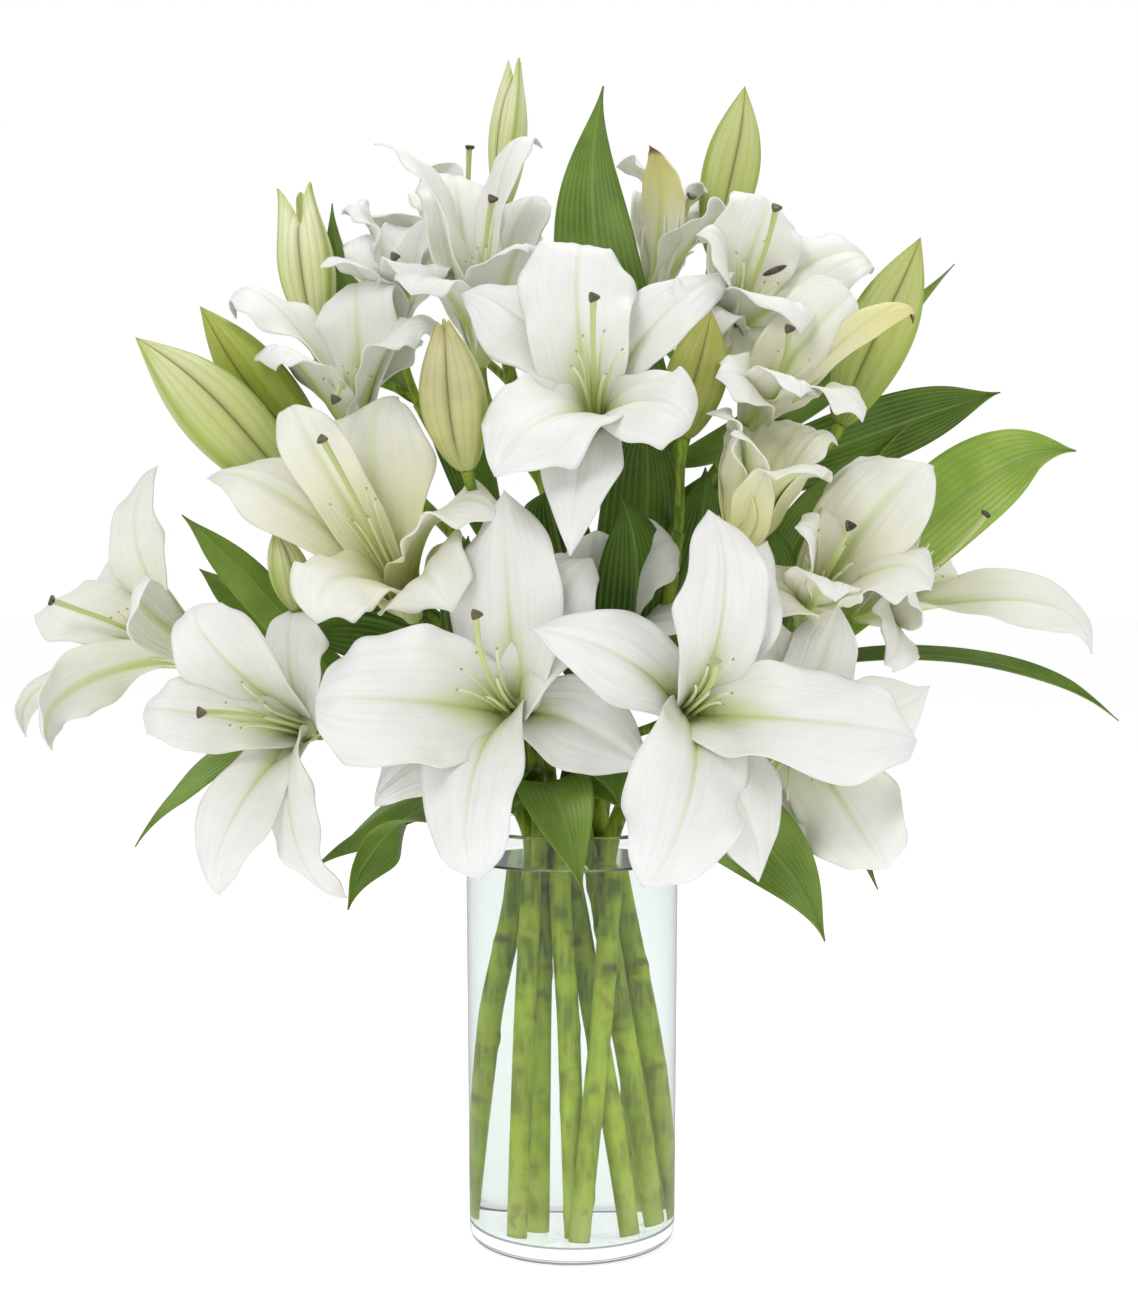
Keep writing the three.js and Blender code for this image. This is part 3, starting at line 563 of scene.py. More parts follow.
def leaf_scars(length, rng):
    """Pads and brown lines left on a stem where its lower leaves were stripped."""
    scars = []
    for distance in range(LOWEST_SCAR, int(length) - LEAFY_TOP, SCAR_SPACING):
        place = (distance + rng.uniform(-15, 15)) / length
        scars.append((place, rng.uniform(-math.pi, math.pi), rng.uniform(0.1, 1.0)))

    def mark_at(share, angle):
        scar = swell = 0.0
        for place, toward, depth in scars:
            off = (share - place) * length
            if abs(off) > 9:
                continue
            turned_to = max(0.0, math.cos(angle - toward))
            scar = max(scar, depth * math.exp(-((off / (1.2 + depth)) ** 2)) * turned_to ** 2)
            swell += 0.6 * math.exp(-(((off + 2.5) / 3.5) ** 2)) * turned_to
        return scar, swell

    return mark_at


def mottling():
    """Shader group: soft blotches and fine streaks that run up the plant."""
    group = bpy.data.node_groups.new("plant_mottling", "ShaderNodeTree")
    for socket, way in (
        ("Blotch Scale", "INPUT"), ("Streak Scale", "INPUT"),
        ("Blotches", "OUTPUT"), ("Streaks", "OUTPUT"),
    ):
        group.interface.new_socket(socket, in_out=way, socket_type="NodeSocketFloat")
    entry = group.nodes.new("NodeGroupInput")
    leave = group.nodes.new("NodeGroupOutput")
    place = group.nodes.new("ShaderNodeTexCoord")
    blotch = group.nodes.new("ShaderNodeTexNoise")
    set_sockets(blotch, {"Detail": 4})
    stretch = group.nodes.new("ShaderNodeMapping")
    set_sockets(stretch, {"Scale": (1, 1, 0.12)})
    streak = group.nodes.new("ShaderNodeTexNoise")
    set_sockets(streak, {"Detail": 3})
    group.links.new(place.outputs["Object"], blotch.inputs["Vector"])
    group.links.new(entry.outputs["Blotch Scale"], blotch.inputs["Scale"])
    group.links.new(place.outputs["Object"], stretch.inputs["Vector"])
    group.links.new(stretch.outputs["Vector"], streak.inputs["Vector"])
    group.links.new(entry.outputs["Streak Scale"], streak.inputs["Scale"])
    group.links.new(blotch.outputs["Fac"], leave.inputs["Blotches"])
    group.links.new(streak.outputs["Fac"], leave.inputs["Streaks"])
    return group


def layer_value(tree, name):
    """Reads one of the vertex layers of a plant mesh."""
    node = tree.nodes.new("ShaderNodeAttribute")
    node.attribute_name = name
    return node.outputs["Fac"]


def ramp(tree, value, stops):
    """A colour ramp from (position, colour) stops."""
    node = tree.nodes.new("ShaderNodeValToRGB")
    node.color_ramp.interpolation = "EASE"
    elements = node.color_ramp.elements
    while len(elements) < len(stops):
        elements.new(0.5)
    for element, (position, colour) in zip(elements, stops):
        element.position = position
        element.color = (*colour, 1)
    tree.links.new(value, node.inputs["Fac"])
    return node.outputs["Color"]


def mask(tree, value, off, on):
    """A soft mask: 0 where a value is at off and 1 where it is at on. Either may be the larger."""
    return ramp(tree, value, sorted([(off, (0, 0, 0)), (on, (1, 1, 1))]))


def blend(tree, factor, first, second, mode="MIX"):
    """Mixes two colours, each a socket or a constant; the factor is a socket or a number."""
    node = tree.nodes.new("ShaderNodeMix")
    node.data_type = "RGBA"
    node.blend_type = mode
    for name, value in (("Factor", factor), ("A", first), ("B", second)):
        socket = node.inputs[name]
        if isinstance(value, bpy.types.NodeSocket):
            tree.links.new(value, socket)
        else:
            socket.default_value = (*value, 1) if isinstance(value, tuple) else value
    # A Mix node has a result of each data type under one name. The third of them is the colour.
    return node.outputs[2]


def maths(tree, operation, first, second=None, third=None):
    """A Math node on sockets or numbers."""
    node = tree.nodes.new("ShaderNodeMath")
    node.operation = operation
    for socket, value in zip(node.inputs, (first, second, third)):
        if isinstance(value, bpy.types.NodeSocket):
            tree.links.new(value, socket)
        elif value is not None:
            socket.default_value = value
    return node.outputs[0]


def tinge(tree, colour, where, strength, toward):
    """Draws a colour toward another one where a mask says so, by a strength of 0 to 1."""
    return blend(tree, maths(tree, "MULTIPLY", where, strength), colour, toward)


def use_mottling(tree, blotch_scale, streak_scale):
    """Places the mottling in a material and gives its blotches and streaks."""
    node = tree.nodes.new("ShaderNodeGroup")
    node.node_tree = plant_mottling
    set_sockets(node, {"Blotch Scale": blotch_scale, "Streak Scale": streak_scale})
    return node.outputs["Blotches"], node.outputs["Streaks"]


plant_mottling = mottling()
stem_skin, tree, shader = new_material("stem_skin")
blotches, streaks = use_mottling(tree, blotch_scale=60, streak_scale=420)
# Standing in water the stems stay a fresh yellow-green. Above the rim, up among the leaves, both
# ramps turn darker: painted shade for the shadow inside the bouquet. The ramps run over the lowest
# half metre.
place = tree.nodes.new("ShaderNodeTexCoord")
apart = tree.nodes.new("ShaderNodeSeparateXYZ")
tree.links.new(place.outputs["Object"], apart.inputs["Vector"])
height = maths(tree, "MULTIPLY", apart.outputs["Z"], 2)
# From a share of 0.44 up, just above the rim, these greens hold painted shade.
pale_green_shaded_above_rim = ramp(tree, height, [
    (0.02, (0.54, 0.62, 0.18)), (0.10, (0.46, 0.58, 0.05)), (0.38, (0.36, 0.48, 0.015)),
    (0.44, (0.20, 0.29, 0.025)), (0.62, (0.19, 0.29, 0.03)),
])
dark_green_shaded_above_rim = ramp(tree, height, [
    (0.02, (0.30, 0.36, 0.05)), (0.38, (0.14, 0.20, 0.005)), (0.44, (0.10, 0.16, 0.012)),
    (0.62, (0.11, 0.19, 0.015)),
])
green = blend(tree, mask(tree, blotches, 0.38, 0.62), dark_green_shaded_above_rim, pale_green_shaded_above_rim)
green = tinge(tree, green, mask(tree, streaks, 0.42, 0.60), 0.35, (0.52, 0.66, 0.08))
bruises = mask(tree, blotches, 0.62, 0.72)
green = tinge(tree, green, bruises, 0.55, (0.26, 0.17, 0.02))
scarred = blend(tree, layer_value(tree, "mark"), green, (0.12, 0.075, 0.02))
tree.links.new(scarred, shader.inputs["Base Color"])
set_sockets(shader, {
    "Roughness": 0.42, "Specular IOR Level": 0.25,
    "Subsurface Weight": 0.12, "Subsurface Radius": (0.6, 1.0, 0.25), "Subsurface Scale": 0.002,
})
raise_surface(tree, shader, streaks, strength=0.25, distance=0.0004)


def stem_radius(share):
    """A stem tapers from its cut end, faster toward its top."""
    return STEM_RADIUS + (STEM_TOP_RADIUS - STEM_RADIUS) * share ** 2


def pedicel_radius(share):
    """A pedicel is even, and widens under its bloom or bud."""
    return PEDICEL_RADIUS + PEDICEL_FLARE * max(0.0, share - 0.7) / 0.3


for order, name in enumerate(STEMS):
    rng = random.Random(40 + order)
    bm = plant_mesh()
    walk = stem_walk(name)
    length = sum((b - a).length for a, b in zip(walk, walk[1:]))
    rod(bm, walk, stem_radius, STEM_SIDES, leaf_scars(length, rng))
    for head, share in STEMS[name]["heads"].items():
        end, facing = head_seat(head)
        at = min(round(share * (len(walk) - 1)), len(walk) - 2)
        start = walk[at]
        span = (end - start).length
        heading = (walk[at + 1] - walk[at]).normalized()
        controls = [start, start + 0.3 * span * heading, end - 0.35 * span * facing, end + facing]
        rod(bm, curve(controls, PEDICEL_STEPS), pedicel_radius, PEDICEL_SIDES)
    piece = finished(name.replace("stem", "stalk"), bm, stem_skin)
    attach(piece, "root")
    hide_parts(name)


# -------------------------------------------------------------------------------------------------
# Leaves: lance-shaped blades with parallel veins, folded a little along the midrib, glossy and
# dark on the upper side. Each clasps its stem; the lower ones hang over the rim of the vase.
LEAF_THICKNESS = 0.6 * MM
LEAF_CELLS = (44, 14)

# The leaves: the stem and how far up it each grows, its middle and its tip, its width and the way
# its width lies, and its age. The older, the paler.
LEAVES = {
    "leaf_top": {
        "on": ("stem_rear", 0.85), "middle": (14, 6, 472), "tip": (15, 0, 561),
        "width": 42, "across": (1, 0.2, 0.2), "age": 0.25,
    },
    "leaf_left_upper": {
        "on": ("stem_middle_left", 1), "middle": (-114, 76, 466), "tip": (-126, 74, 520),
        "width": 20, "across": (1, 0.6, 0), "age": 0.3,
    },
    "leaf_right_upper": {
        "on": ("stem_rear", 0.84), "middle": (125, 50, 420), "tip": (194, 45, 484),
        "width": 22, "across": (0.6, 0.2, -0.7), "age": 0.3,
    },
    "leaf_right_slender": {
        "on": ("stem_rear", 0.78), "middle": (150, 44, 396), "tip": (218, 42, 419),
        "width": 34, "across": (-0.2, 0.3, 1), "age": 0.15,
    },
    "leaf_right_pale": {
        "on": ("stem_front_right", 1), "middle": (198, 32, 366), "tip": (249, 20, 388),
        "width": 44, "across": (-0.3, 0.2, 0.9), "age": 0.9,
    },
    "leaf_right_middle": {
        "on": ("stem_front_right", 0.95), "middle": (110, 12, 340), "tip": (165, 4, 399),
        "width": 24, "across": (-0.6, 0.3, 0.7), "age": 0.3,
    },
    "leaf_right_long": {
        "on": ("stem_front_right", 0.98), "middle": (196, -14, 284), "tip": (263, -20, 256),
        "width": 12, "across": (0, 0.7, 0.7), "age": 0.1,
    },
    "leaf_left_upright": {
        "on": ("stem_far_left", 0.98), "middle": (-150, 6, 314), "tip": (-190, -5, 354),
        "width": 22, "across": (0.7, 0.3, 0.7), "age": 0.5,
    },
    "leaf_left_middle": {
        "on": ("stem_far_left", 0.93), "middle": (-150, 34, 300), "tip": (-188, 24, 328),
        "width": 24, "across": (0.5, 0.5, 0.7), "age": 0.4,
    },
    "leaf_left_drooping": {
        "on": ("stem_far_left", 0.9), "middle": (-162, 8, 244), "tip": (-210, -10, 192),
        "width": 26, "across": (0, 1, 0.3), "age": 0.3,
    },
    "leaf_left_under": {
        "on": ("stem_far_left", 0.75), "middle": (-88, -20, 212), "tip": (-118, -40, 186),
        "width": 30, "across": (0.3, 0.8, 0.5), "age": 0.3,
    },
    "leaf_left_low": {
        "on": ("stem_front_left", 0.63), "middle": (-78, -38, 210), "tip": (-102, -60, 171),
        "width": 34, "across": (0.6, 0.6, 0.4), "age": 0.3,
    },
    "leaf_right_low": {
        "on": ("stem_front_middle", 0.63), "middle": (74, -64, 212), "tip": (114, -84, 160),
        "width": 40, "across": (0.6, 0.3, 0.7), "age": 0.4,
    },
    "leaf_right_under": {
        "on": ("stem_front_right", 0.78), "middle": (108, -24, 222), "tip": (146, -40, 178),
        "width": 26, "across": (0.3, 0.8, 0.5), "age": 0.1,
    },
    "leaf_front": {
        "on": ("stem_front_left", 0.61), "middle": (-8, -58, 224), "tip": (5, -72, 180),
        "width": 34, "across": (1, 0, 0.1), "age": 0.4,
    },
    "leaf_rear_left": {
        "on": ("stem_middle_left", 0.78), "middle": (-52, 100, 340), "tip": (-74, 134, 300),
        "width": 28, "across": (1, 0.4, 0), "age": 0.3,
    },
    "leaf_rear_right": {
        "on": ("stem_rear", 0.68), "middle": (70, 84, 340), "tip": (96, 118, 306),
        "width": 28, "across": (1, -0.5, 0), "age": 0.4,
    },
}

# The small leaves left on the stems inside the bouquet, by the stem that bears them. They fill the
# dark gaps among the blooms in the darkest green, so they are partly real leaves and partly
# painted shade.
STEM_LEAVES = {
    "stem_far_left": [
        {"share": 0.66, "middle": (-30, -22, 226), "tip": (-46, -36, 212),
         "width": 32, "across": (1, 0, 0.3)},
    ],
    "stem_front_left": [
        {"share": 0.62, "middle": (-42, -24, 296), "tip": (-50, -32, 344),
         "width": 36, "across": (1, 0.3, 0)},
    ],
    "stem_middle_left": [
        {"share": 0.80, "middle": (-56, 36, 392), "tip": (-72, 12, 420),
         "width": 26, "across": (1, 0.2, 0.2)},
        {"share": 0.56, "middle": (-26, 8, 262), "tip": (-36, -12, 300),
         "width": 26, "across": (1, 0.2, 0.2)},
    ],
    "stem_front_middle": [
        {"share": 0.72, "middle": (30, -36, 318), "tip": (22, -48, 362),
         "width": 36, "across": (1, 0.3, 0)},
        {"share": 0.57, "middle": (12, -40, 236), "tip": (22, -56, 218),
         "width": 24, "across": (1, 0, 0.2)},
        {"share": 0.80, "middle": (58, -6, 334), "tip": (64, -6, 378),
         "width": 30, "across": (1, 0.2, 0)},
    ],
    "stem_left_leaning": [
        {"share": 0.72, "middle": (-60, -6, 272), "tip": (-96, -30, 262),
         "width": 26, "across": (0.2, -0.5, 1)},
        {"share": 0.84, "middle": (-104, 4, 304), "tip": (-130, -16, 292),
         "width": 40, "across": (0.2, 0, 1)},
    ],
    "stem_far_right": [
        {"share": 0.54, "middle": (-6, 14, 336), "tip": (-14, -6, 368),
         "width": 38, "across": (1, 0.2, 0.1)},
    ],
    "stem_front_right": [
        {"share": 0.68, "middle": (44, -26, 236), "tip": (58, -44, 214),
         "width": 28, "across": (1, 0.2, 0)},
        {"share": 0.86, "middle": (98, 0, 316), "tip": (84, -18, 350),
         "width": 34, "across": (1, 0.2, 0.2)},
    ],
    "stem_rear": [
        {"share": 0.58, "middle": (36, 6, 354), "tip": (32, -4, 404),
         "width": 46, "across": (1, 0.3, 0)},
        {"share": 0.72, "middle": (82, 22, 384), "tip": (104, 0, 404),
         "width": 26, "across": (0.6, 0.2, 0.8)},
    ],
}


def blade(bm, spine, across, half_width, lift, tint, cells, roll=0.0, flush=0.0, dry=0.0):
    """A thin blade bent along a spine in millimetres, and raised by lift(share, side). Its mark
    layer holds how flushed it is with cream, and vein whether it has begun to dry."""
    layers = bm.verts.layers.float
    along, side_of, tinted = layers["along"], layers["side"], layers["tint"]
    flushed, dried = layers["mark"], layers["vein"]
    grid = bmesh.ops.create_grid(
        bm, x_segments=cells[0], y_segments=cells[1], size=0.5, calc_uvs=True,
    )["verts"]
    for v in grid:
        share = 1 - (1 - (v.co.x + 0.5)) ** 1.2
        side = v.co.y * 2
        point, tangent = bezier(spine, share)
        width = (across - tangent * across.dot(tangent)).normalized()
        if roll:
            width = Matrix.Rotation(math.radians(roll) * min(1, share * 2), 3, tangent) @ width
        face = tangent.cross(width)
        place = point + width * side * half_width(share) + face * lift(share, side)
        v[along], v[side_of], v[tinted], v[flushed], v[dried] = share, side, tint, flush, dry
        v.co = place * MM
    return grid


def thin_sheet(piece, thickness, back_slot=0):
    """Gives a one-sided blade its thickness. The far side may wear another material."""
    solid = piece.modifiers.new("thickness", "SOLIDIFY")
    solid.thickness = thickness
    solid.offset = 0
    solid.material_offset = back_slot
    solid.use_even_offset = False


leaf_skin, tree, shader = new_material("leaf_skin")
along, side, tint = (layer_value(tree, name) for name in ("along", "side", "tint"))
blotches, streaks = use_mottling(tree, blotch_scale=35, streak_scale=260)
vein_wave = maths(tree, "SINE", maths(tree, "MULTIPLY", side, 42))
veins = maths(tree, "MULTIPLY_ADD", vein_wave, 0.5, 0.5)
raised = maths(tree, "MULTIPLY", maths(tree, "POWER", veins, 3.0), 0.5)
dark = ramp(tree, blotches, [(0.3, (0.024, 0.066, 0.007)), (0.7, (0.075, 0.160, 0.014))])
pale = ramp(tree, blotches, [(0.3, (0.28, 0.44, 0.06)), (0.7, (0.42, 0.58, 0.12))])
green = blend(tree, tint, dark, pale)
green = blend(tree, raised, green, (0.22, 0.34, 0.04))
midrib = mask(tree, maths(tree, "ABSOLUTE", side), 0.09, 0.0)
green = tinge(tree, green, midrib, 0.55, (0.24, 0.36, 0.09))
green = tinge(tree, green, mask(tree, along, 0.955, 1.0), 0.5, (0.14, 0.09, 0.02))
tree.links.new(green, shader.inputs["Base Color"])
set_sockets(shader, {
    "Roughness": 0.32, "Specular IOR Level": 0.36,
    "Subsurface Weight": 0.1, "Subsurface Radius": (0.5, 1.0, 0.2), "Subsurface Scale": 0.001,
})
ribbing = maths(tree, "MULTIPLY_ADD", streaks, 0.3, veins)
raise_surface(tree, shader, ribbing, strength=0.5, distance=0.0003)


def fading(share):
    """1 along a blade and next to nothing at its ends, so that a fold closes where it narrows."""
    return min(1, 4 * share + 0.1, 5 * (1 - share) + 0.03)


def grow_leaf(bm, root, leaf, age, rng):
    """One leaf from its stem through its middle to its tip, with wavy margins and a bent end."""
    middle, tip = Vector(leaf["middle"]), Vector(leaf["tip"])
    pull = 2 * middle - 0.5 * root - 0.5 * tip
    phase = rng.uniform(0, 6)
    width = leaf["width"]

    def half_width(share):
        body = max(0.0, math.sin(math.pi * share ** 0.95)) ** (0.6 + 0.9 * share ** 3)
        return 0.5 * width * (0.14 * (1 - share) + 0.92 * body + 0.012)

    def lift(share, side):
        fold = 0.14 * abs(side) ** 1.4
        fold += 0.06 * abs(side) ** 2 * math.sin(8 * share + phase + 1.5 * side)
        groove = 0.02 * math.exp(-((side / 0.12) ** 2))
        droop = 0.10 * max(0.0, share - 0.75) / 0.25
        return width * ((fold - groove) * fading(share) - droop)

    blade(
        bm, [root, pull, tip], Vector(leaf["across"]), half_width, lift, age, LEAF_CELLS,
        roll=rng.uniform(-15, 15),
    )


def leaf_piece(name, bm, node):
    """One leaf, or all the inner leaves of a stem, as the visible piece of a node."""
    piece = finished(name, bm, leaf_skin)
    thin_sheet(piece, LEAF_THICKNESS)
    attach(piece, "root")
    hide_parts(node)


for order, (name, leaf) in enumerate(LEAVES.items()):
    stem, share = leaf["on"]
    bm = plant_mesh()
    root = point_along(stem_walk(stem), share)
    grow_leaf(bm, root, leaf, leaf["age"], random.Random(200 + order))
    leaf_piece(name.replace("leaf", "blade"), bm, name)

for order, (stem, leaves) in enumerate(STEM_LEAVES.items()):
    rng = random.Random(300 + order)
    walk = stem_walk(stem)
    bm = plant_mesh()
    for leaf in leaves:
        root = point_along(walk, leaf["share"])
        # An age near 0 gives these leaves the darkest green: painted shade for the inside of the
        # bouquet.
        grow_leaf(bm, root, leaf, rng.uniform(0.0, 0.15), rng)
    leaf_piece(stem.replace("stem", "stem_leaves"), bm, stem)


# -------------------------------------------------------------------------------------------------
# Petals: every bloom has six tepals in two whorls, joined in a short greenish tube on the
# pedicel. The three inner ones are broad with ruffled margins, the three outer ones narrower with
# a green back rib.
TUBE_LENGTH = 15
TUBE_HEEL_RADIUS = 4.2
TUBE_MOUTH_RADIUS = 7.0
TEPAL_THICKNESS = 0.8 * MM
LAYER_SPACING = 5
WIDEST = 0.55
TEPAL_CELLS = (54, 24)


def tepal_profile(share, blunt):
    """Width of a tepal as a share of its widest: a narrow claw, then a broad pointed blade."""
    if share < WIDEST:
        return 0.14 + 0.86 * math.sin(0.5 * math.pi * share / WIDEST)
    past = (share - WIDEST) / (1 - WIDEST)
    return max(0.012, (1 - past ** (1.6 + 0.5 * blunt)) ** (1.25 - 0.2 * blunt))


def tepal(bm, bloom, order, rng):
    """One tepal: an inner one, broad and ruffled, or at an odd place in the order an outer one."""
    x, y, z, width, roll, curl = bloom["tepals"][order]
    outer = order % 2
    facing = facing_of(bloom)
    base = Vector(bloom["base"])
    chord = Vector((x, y, z))
    length = chord.length
    outward = (chord - facing * chord.dot(facing)).normalized()
    root = base + facing + outward * (3 if outer else 1.5)
    tip = base + chord
    rise = root + facing * (0.5 * length - outer * LAYER_SPACING)
    rise += outward * (1 + outer) * LAYER_SPACING
    bend = tip - outward * 0.3 * length + facing * (0.14 * length * curl - outer * LAYER_SPACING)
    ruffle = (0.05 if outer else 0.10) * rng.uniform(0.8, 1.25)
    crimp = (0.02 if outer else 0.045) * rng.uniform(0.7, 1.2)
    unevenness = 0.035 if outer else 0.055
    waves, crimps = rng.uniform(11, 15), rng.uniform(26, 34)
    phases = {1: rng.uniform(0, 6.3), -1: rng.uniform(0, 6.3)}
    lean = rng.uniform(-0.08, 0.08)
    lopsided = rng.uniform(-0.08, 0.08)
    twist = rng.uniform(-0.10, 0.10)

    def half_width(share):
        wobble = 1 + unevenness * math.sin(waves * 1.3 * share + phases[1]) * min(1, 3 * share)
        return 0.5 * width * tepal_profile(share, 0 if outer else 1) * wobble

    def lift(share, side):
        edge = abs(side)
        handed = 1 if side >= 0 else -1
        grown = min(1, 2.2 * share)
        channel = 0.34 * (1 - share) ** 2.0 * edge ** 1.5
        fall = -0.13 * curl * share ** 1.4 * edge ** 2.2
        wave = ruffle * edge ** 2.2 * math.sin(waves * share + phases[handed]) * grown
        wave += crimp * edge ** 5 * math.sin(crimps * share + 2 * phases[handed]) * grown
        groove = -0.05 * math.exp(-((side / 0.10) ** 2)) * (1 - 0.6 * share)
        ribs = 0.006 * math.cos(side * 21) * (1 - edge)
        reflex = -0.14 * curl ** 1.4 * max(0.0, (share - 0.7) / 0.3) ** 2
        uneven = (lopsided + twist * (2 * share - 1)) * side * math.sin(math.pi * share)
        return width * ((channel + fall + wave + groove + ribs) * fading(share) + reflex + uneven)

    # The curled end swings off the spine, so the spine is set off the other way.
    across = facing.cross(outward)
    heading = (tip - bend).normalized()
    face = heading.cross(Matrix.Rotation(math.radians(roll), 3, heading) @ across).normalized()
    home = -face * lift(1, 0)
    sway = across * lean * width * 2
    blade(
        bm, [root, rise + sway, bend + sway + home, tip + home], across, half_width, lift,
        rng.random(), TEPAL_CELLS, roll, bloom["flush"], 1 if bloom.get("dry") == order else 0,
    )


def petal_colouring():
    """Shader group: the white of a tepal, its cream flush, green throat, rib and dried tip."""
    group = bpy.data.node_groups.new("petal_colouring", "ShaderNodeTree")
    for socket in ("Rib Width", "Rib Strength", "Rib at Tip"):
        group.interface.new_socket(socket, in_out="INPUT", socket_type="NodeSocketFloat")
    group.interface.new_socket("Colour", in_out="OUTPUT", socket_type="NodeSocketColor")
    group.interface.new_socket("Relief", in_out="OUTPUT", socket_type="NodeSocketFloat")
    entry = group.nodes.new("NodeGroupInput")
    leave = group.nodes.new("NodeGroupOutput")
    along, side, tint = (layer_value(group, name) for name in ("along", "side", "tint"))
    flush, dry = layer_value(group, "mark"), layer_value(group, "vein")
    from_rib = maths(group, "ABSOLUTE", side)
    blotches, streaks = use_mottling(group, blotch_scale=45, streak_scale=300)
    # Fine veins follow the blade: noise drawn out along it.
    grain_place = group.nodes.new("ShaderNodeCombineXYZ")
    for axis, value, scale in (("X", along, 2.2), ("Y", side, 17), ("Z", tint, 40)):
        group.links.new(maths(group, "MULTIPLY", value, scale), grain_place.inputs[axis])
    grain = group.nodes.new("ShaderNodeTexNoise")
    set_sockets(grain, {"Scale": 1, "Detail": 4})
    group.links.new(grain_place.outputs["Vector"], grain.inputs["Vector"])
    white = blend(group, tint, (0.82, 0.82, 0.81), (0.86, 0.86, 0.865))
    shaded = ramp(group, blotches, [(0.3, (0.95, 0.95, 0.935)), (0.7, (1, 1, 1))])
    white = blend(group, 1.0, white, shaded, "MULTIPLY")
    veined = ramp(group, grain.outputs["Fac"], [(0.32, (0.96, 0.963, 0.945)), (0.56, (1, 1, 1))])
    white = blend(group, 1.0, white, veined, "MULTIPLY")
    # Young blooms are flushed with cream over most of the blade.
    cream = ramp(group, along, [
        (0.22, (1, 1, 1)), (0.75, (0.3, 0.3, 0.3)), (1.0, (0.08, 0.08, 0.08)),
    ])
    white = tinge(group, white, cream, flush, (0.76, 0.75, 0.36))
    # Green-yellow wells up from the throat and thins out along the midrib.
    reach = maths(group, "MULTIPLY_ADD", from_rib, 0.42, along)
    throat = ramp(group, reach, [(0.10, (1, 1, 1)), (0.26, (0.6, 0.6, 0.6)), (0.54, (0, 0, 0))])
    white = tinge(group, white, throat, 0.95, (0.50, 0.57, 0.06))
    band = group.nodes.new("ShaderNodeMapRange")
    band.interpolation_type = "SMOOTHSTEP"
    group.links.new(from_rib, band.inputs["Value"])
    # The younger the bloom, the further its green spreads from the rib.
    spread = maths(group, "MULTIPLY_ADD", flush, 2.4, 1.0)
    spread = maths(group, "MULTIPLY", spread, entry.outputs["Rib Width"])
    group.links.new(spread, band.inputs["From Min"])
    set_sockets(band, {"From Max": 0})
    fade = group.nodes.new("ShaderNodeMapRange")
    group.links.new(along, fade.inputs["Value"])
    set_sockets(fade, {"From Min": 1, "From Max": 0.2})
    group.links.new(entry.outputs["Rib at Tip"], fade.inputs["To Min"])
    rib = maths(group, "MULTIPLY", band.outputs["Result"], fade.outputs["Result"])
    rib = maths(group, "MULTIPLY", rib, entry.outputs["Rib Strength"])
    white = blend(group, rib, white, (0.48, 0.60, 0.16))
    # A tepal that fades first goes yellow, and brown at its tip.
    yellowed = ramp(group, along, [(0.15, (0, 0, 0)), (0.75, (0.75, 0.75, 0.75))])
    white = tinge(group, white, yellowed, dry, (0.70, 0.65, 0.14))
    white = tinge(group, white, mask(group, along, 0.86, 0.95), dry, (0.26, 0.12, 0.03))
    group.links.new(white, leave.inputs["Colour"])
    # Ribs and veins stand out, and small warts roughen the throat.
    warts = group.nodes.new("ShaderNodeTexVoronoi")
    set_sockets(warts, {"Scale": 520})
    bumps = mask(group, warts.outputs["Distance"], 0.5, 0.1)
    place = group.nodes.new("ShaderNodeTexCoord")
    group.links.new(place.outputs["Object"], warts.inputs["Vector"])
    ribs = maths(group, "SINE", maths(group, "MULTIPLY", side, 34))
    relief = maths(group, "MULTIPLY_ADD", ribs, 0.14, grain.outputs["Fac"])
    relief = maths(group, "MULTIPLY_ADD", streaks, 0.35, relief)
    relief = maths(group, "MULTIPLY_ADD", maths(group, "MULTIPLY", bumps, throat), 1.2, relief)
    group.links.new(relief, leave.inputs["Relief"])
    return group


def petal_material(name, rib_width, rib_strength, rib_at_tip):
    """The skin of one side of the tepals. Their backs have the broader and greener rib."""
    material, tree, shader = new_material(name)
    colouring = tree.nodes.new("ShaderNodeGroup")
    colouring.node_tree = petal_pattern
    set_sockets(colouring, {
        "Rib Width": rib_width, "Rib Strength": rib_strength, "Rib at Tip": rib_at_tip,
    })
    tree.links.new(colouring.outputs["Colour"], shader.inputs["Base Color"])
    set_sockets(shader, {
        "Roughness": 0.5,
        "Subsurface Weight": 0.2, "Subsurface Radius": (1.0, 1.0, 0.8), "Subsurface Scale": 0.0015,
    })
    raise_surface(tree, shader, colouring.outputs["Relief"], strength=0.4, distance=0.0007)
    return material


petal_pattern = petal_colouring()
petal_front = petal_material("petal_front", rib_width=0.07, rib_strength=0.6, rib_at_tip=0.0)
petal_back = petal_material("petal_back", rib_width=0.15, rib_strength=0.85, rib_at_tip=0.35)

for order, (name, bloom) in enumerate(BLOOMS.items()):
    rng = random.Random(500 + order)
    bm = plant_mesh()
    for index in range(len(bloom["tepals"])):
        tepal(bm, bloom, index, rng)
    piece = finished(name.replace("bloom", "petals"), bm, petal_front, petal_back)
    thin_sheet(piece, TEPAL_THICKNESS, back_slot=1)
    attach(piece, "root")
    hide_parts(name)


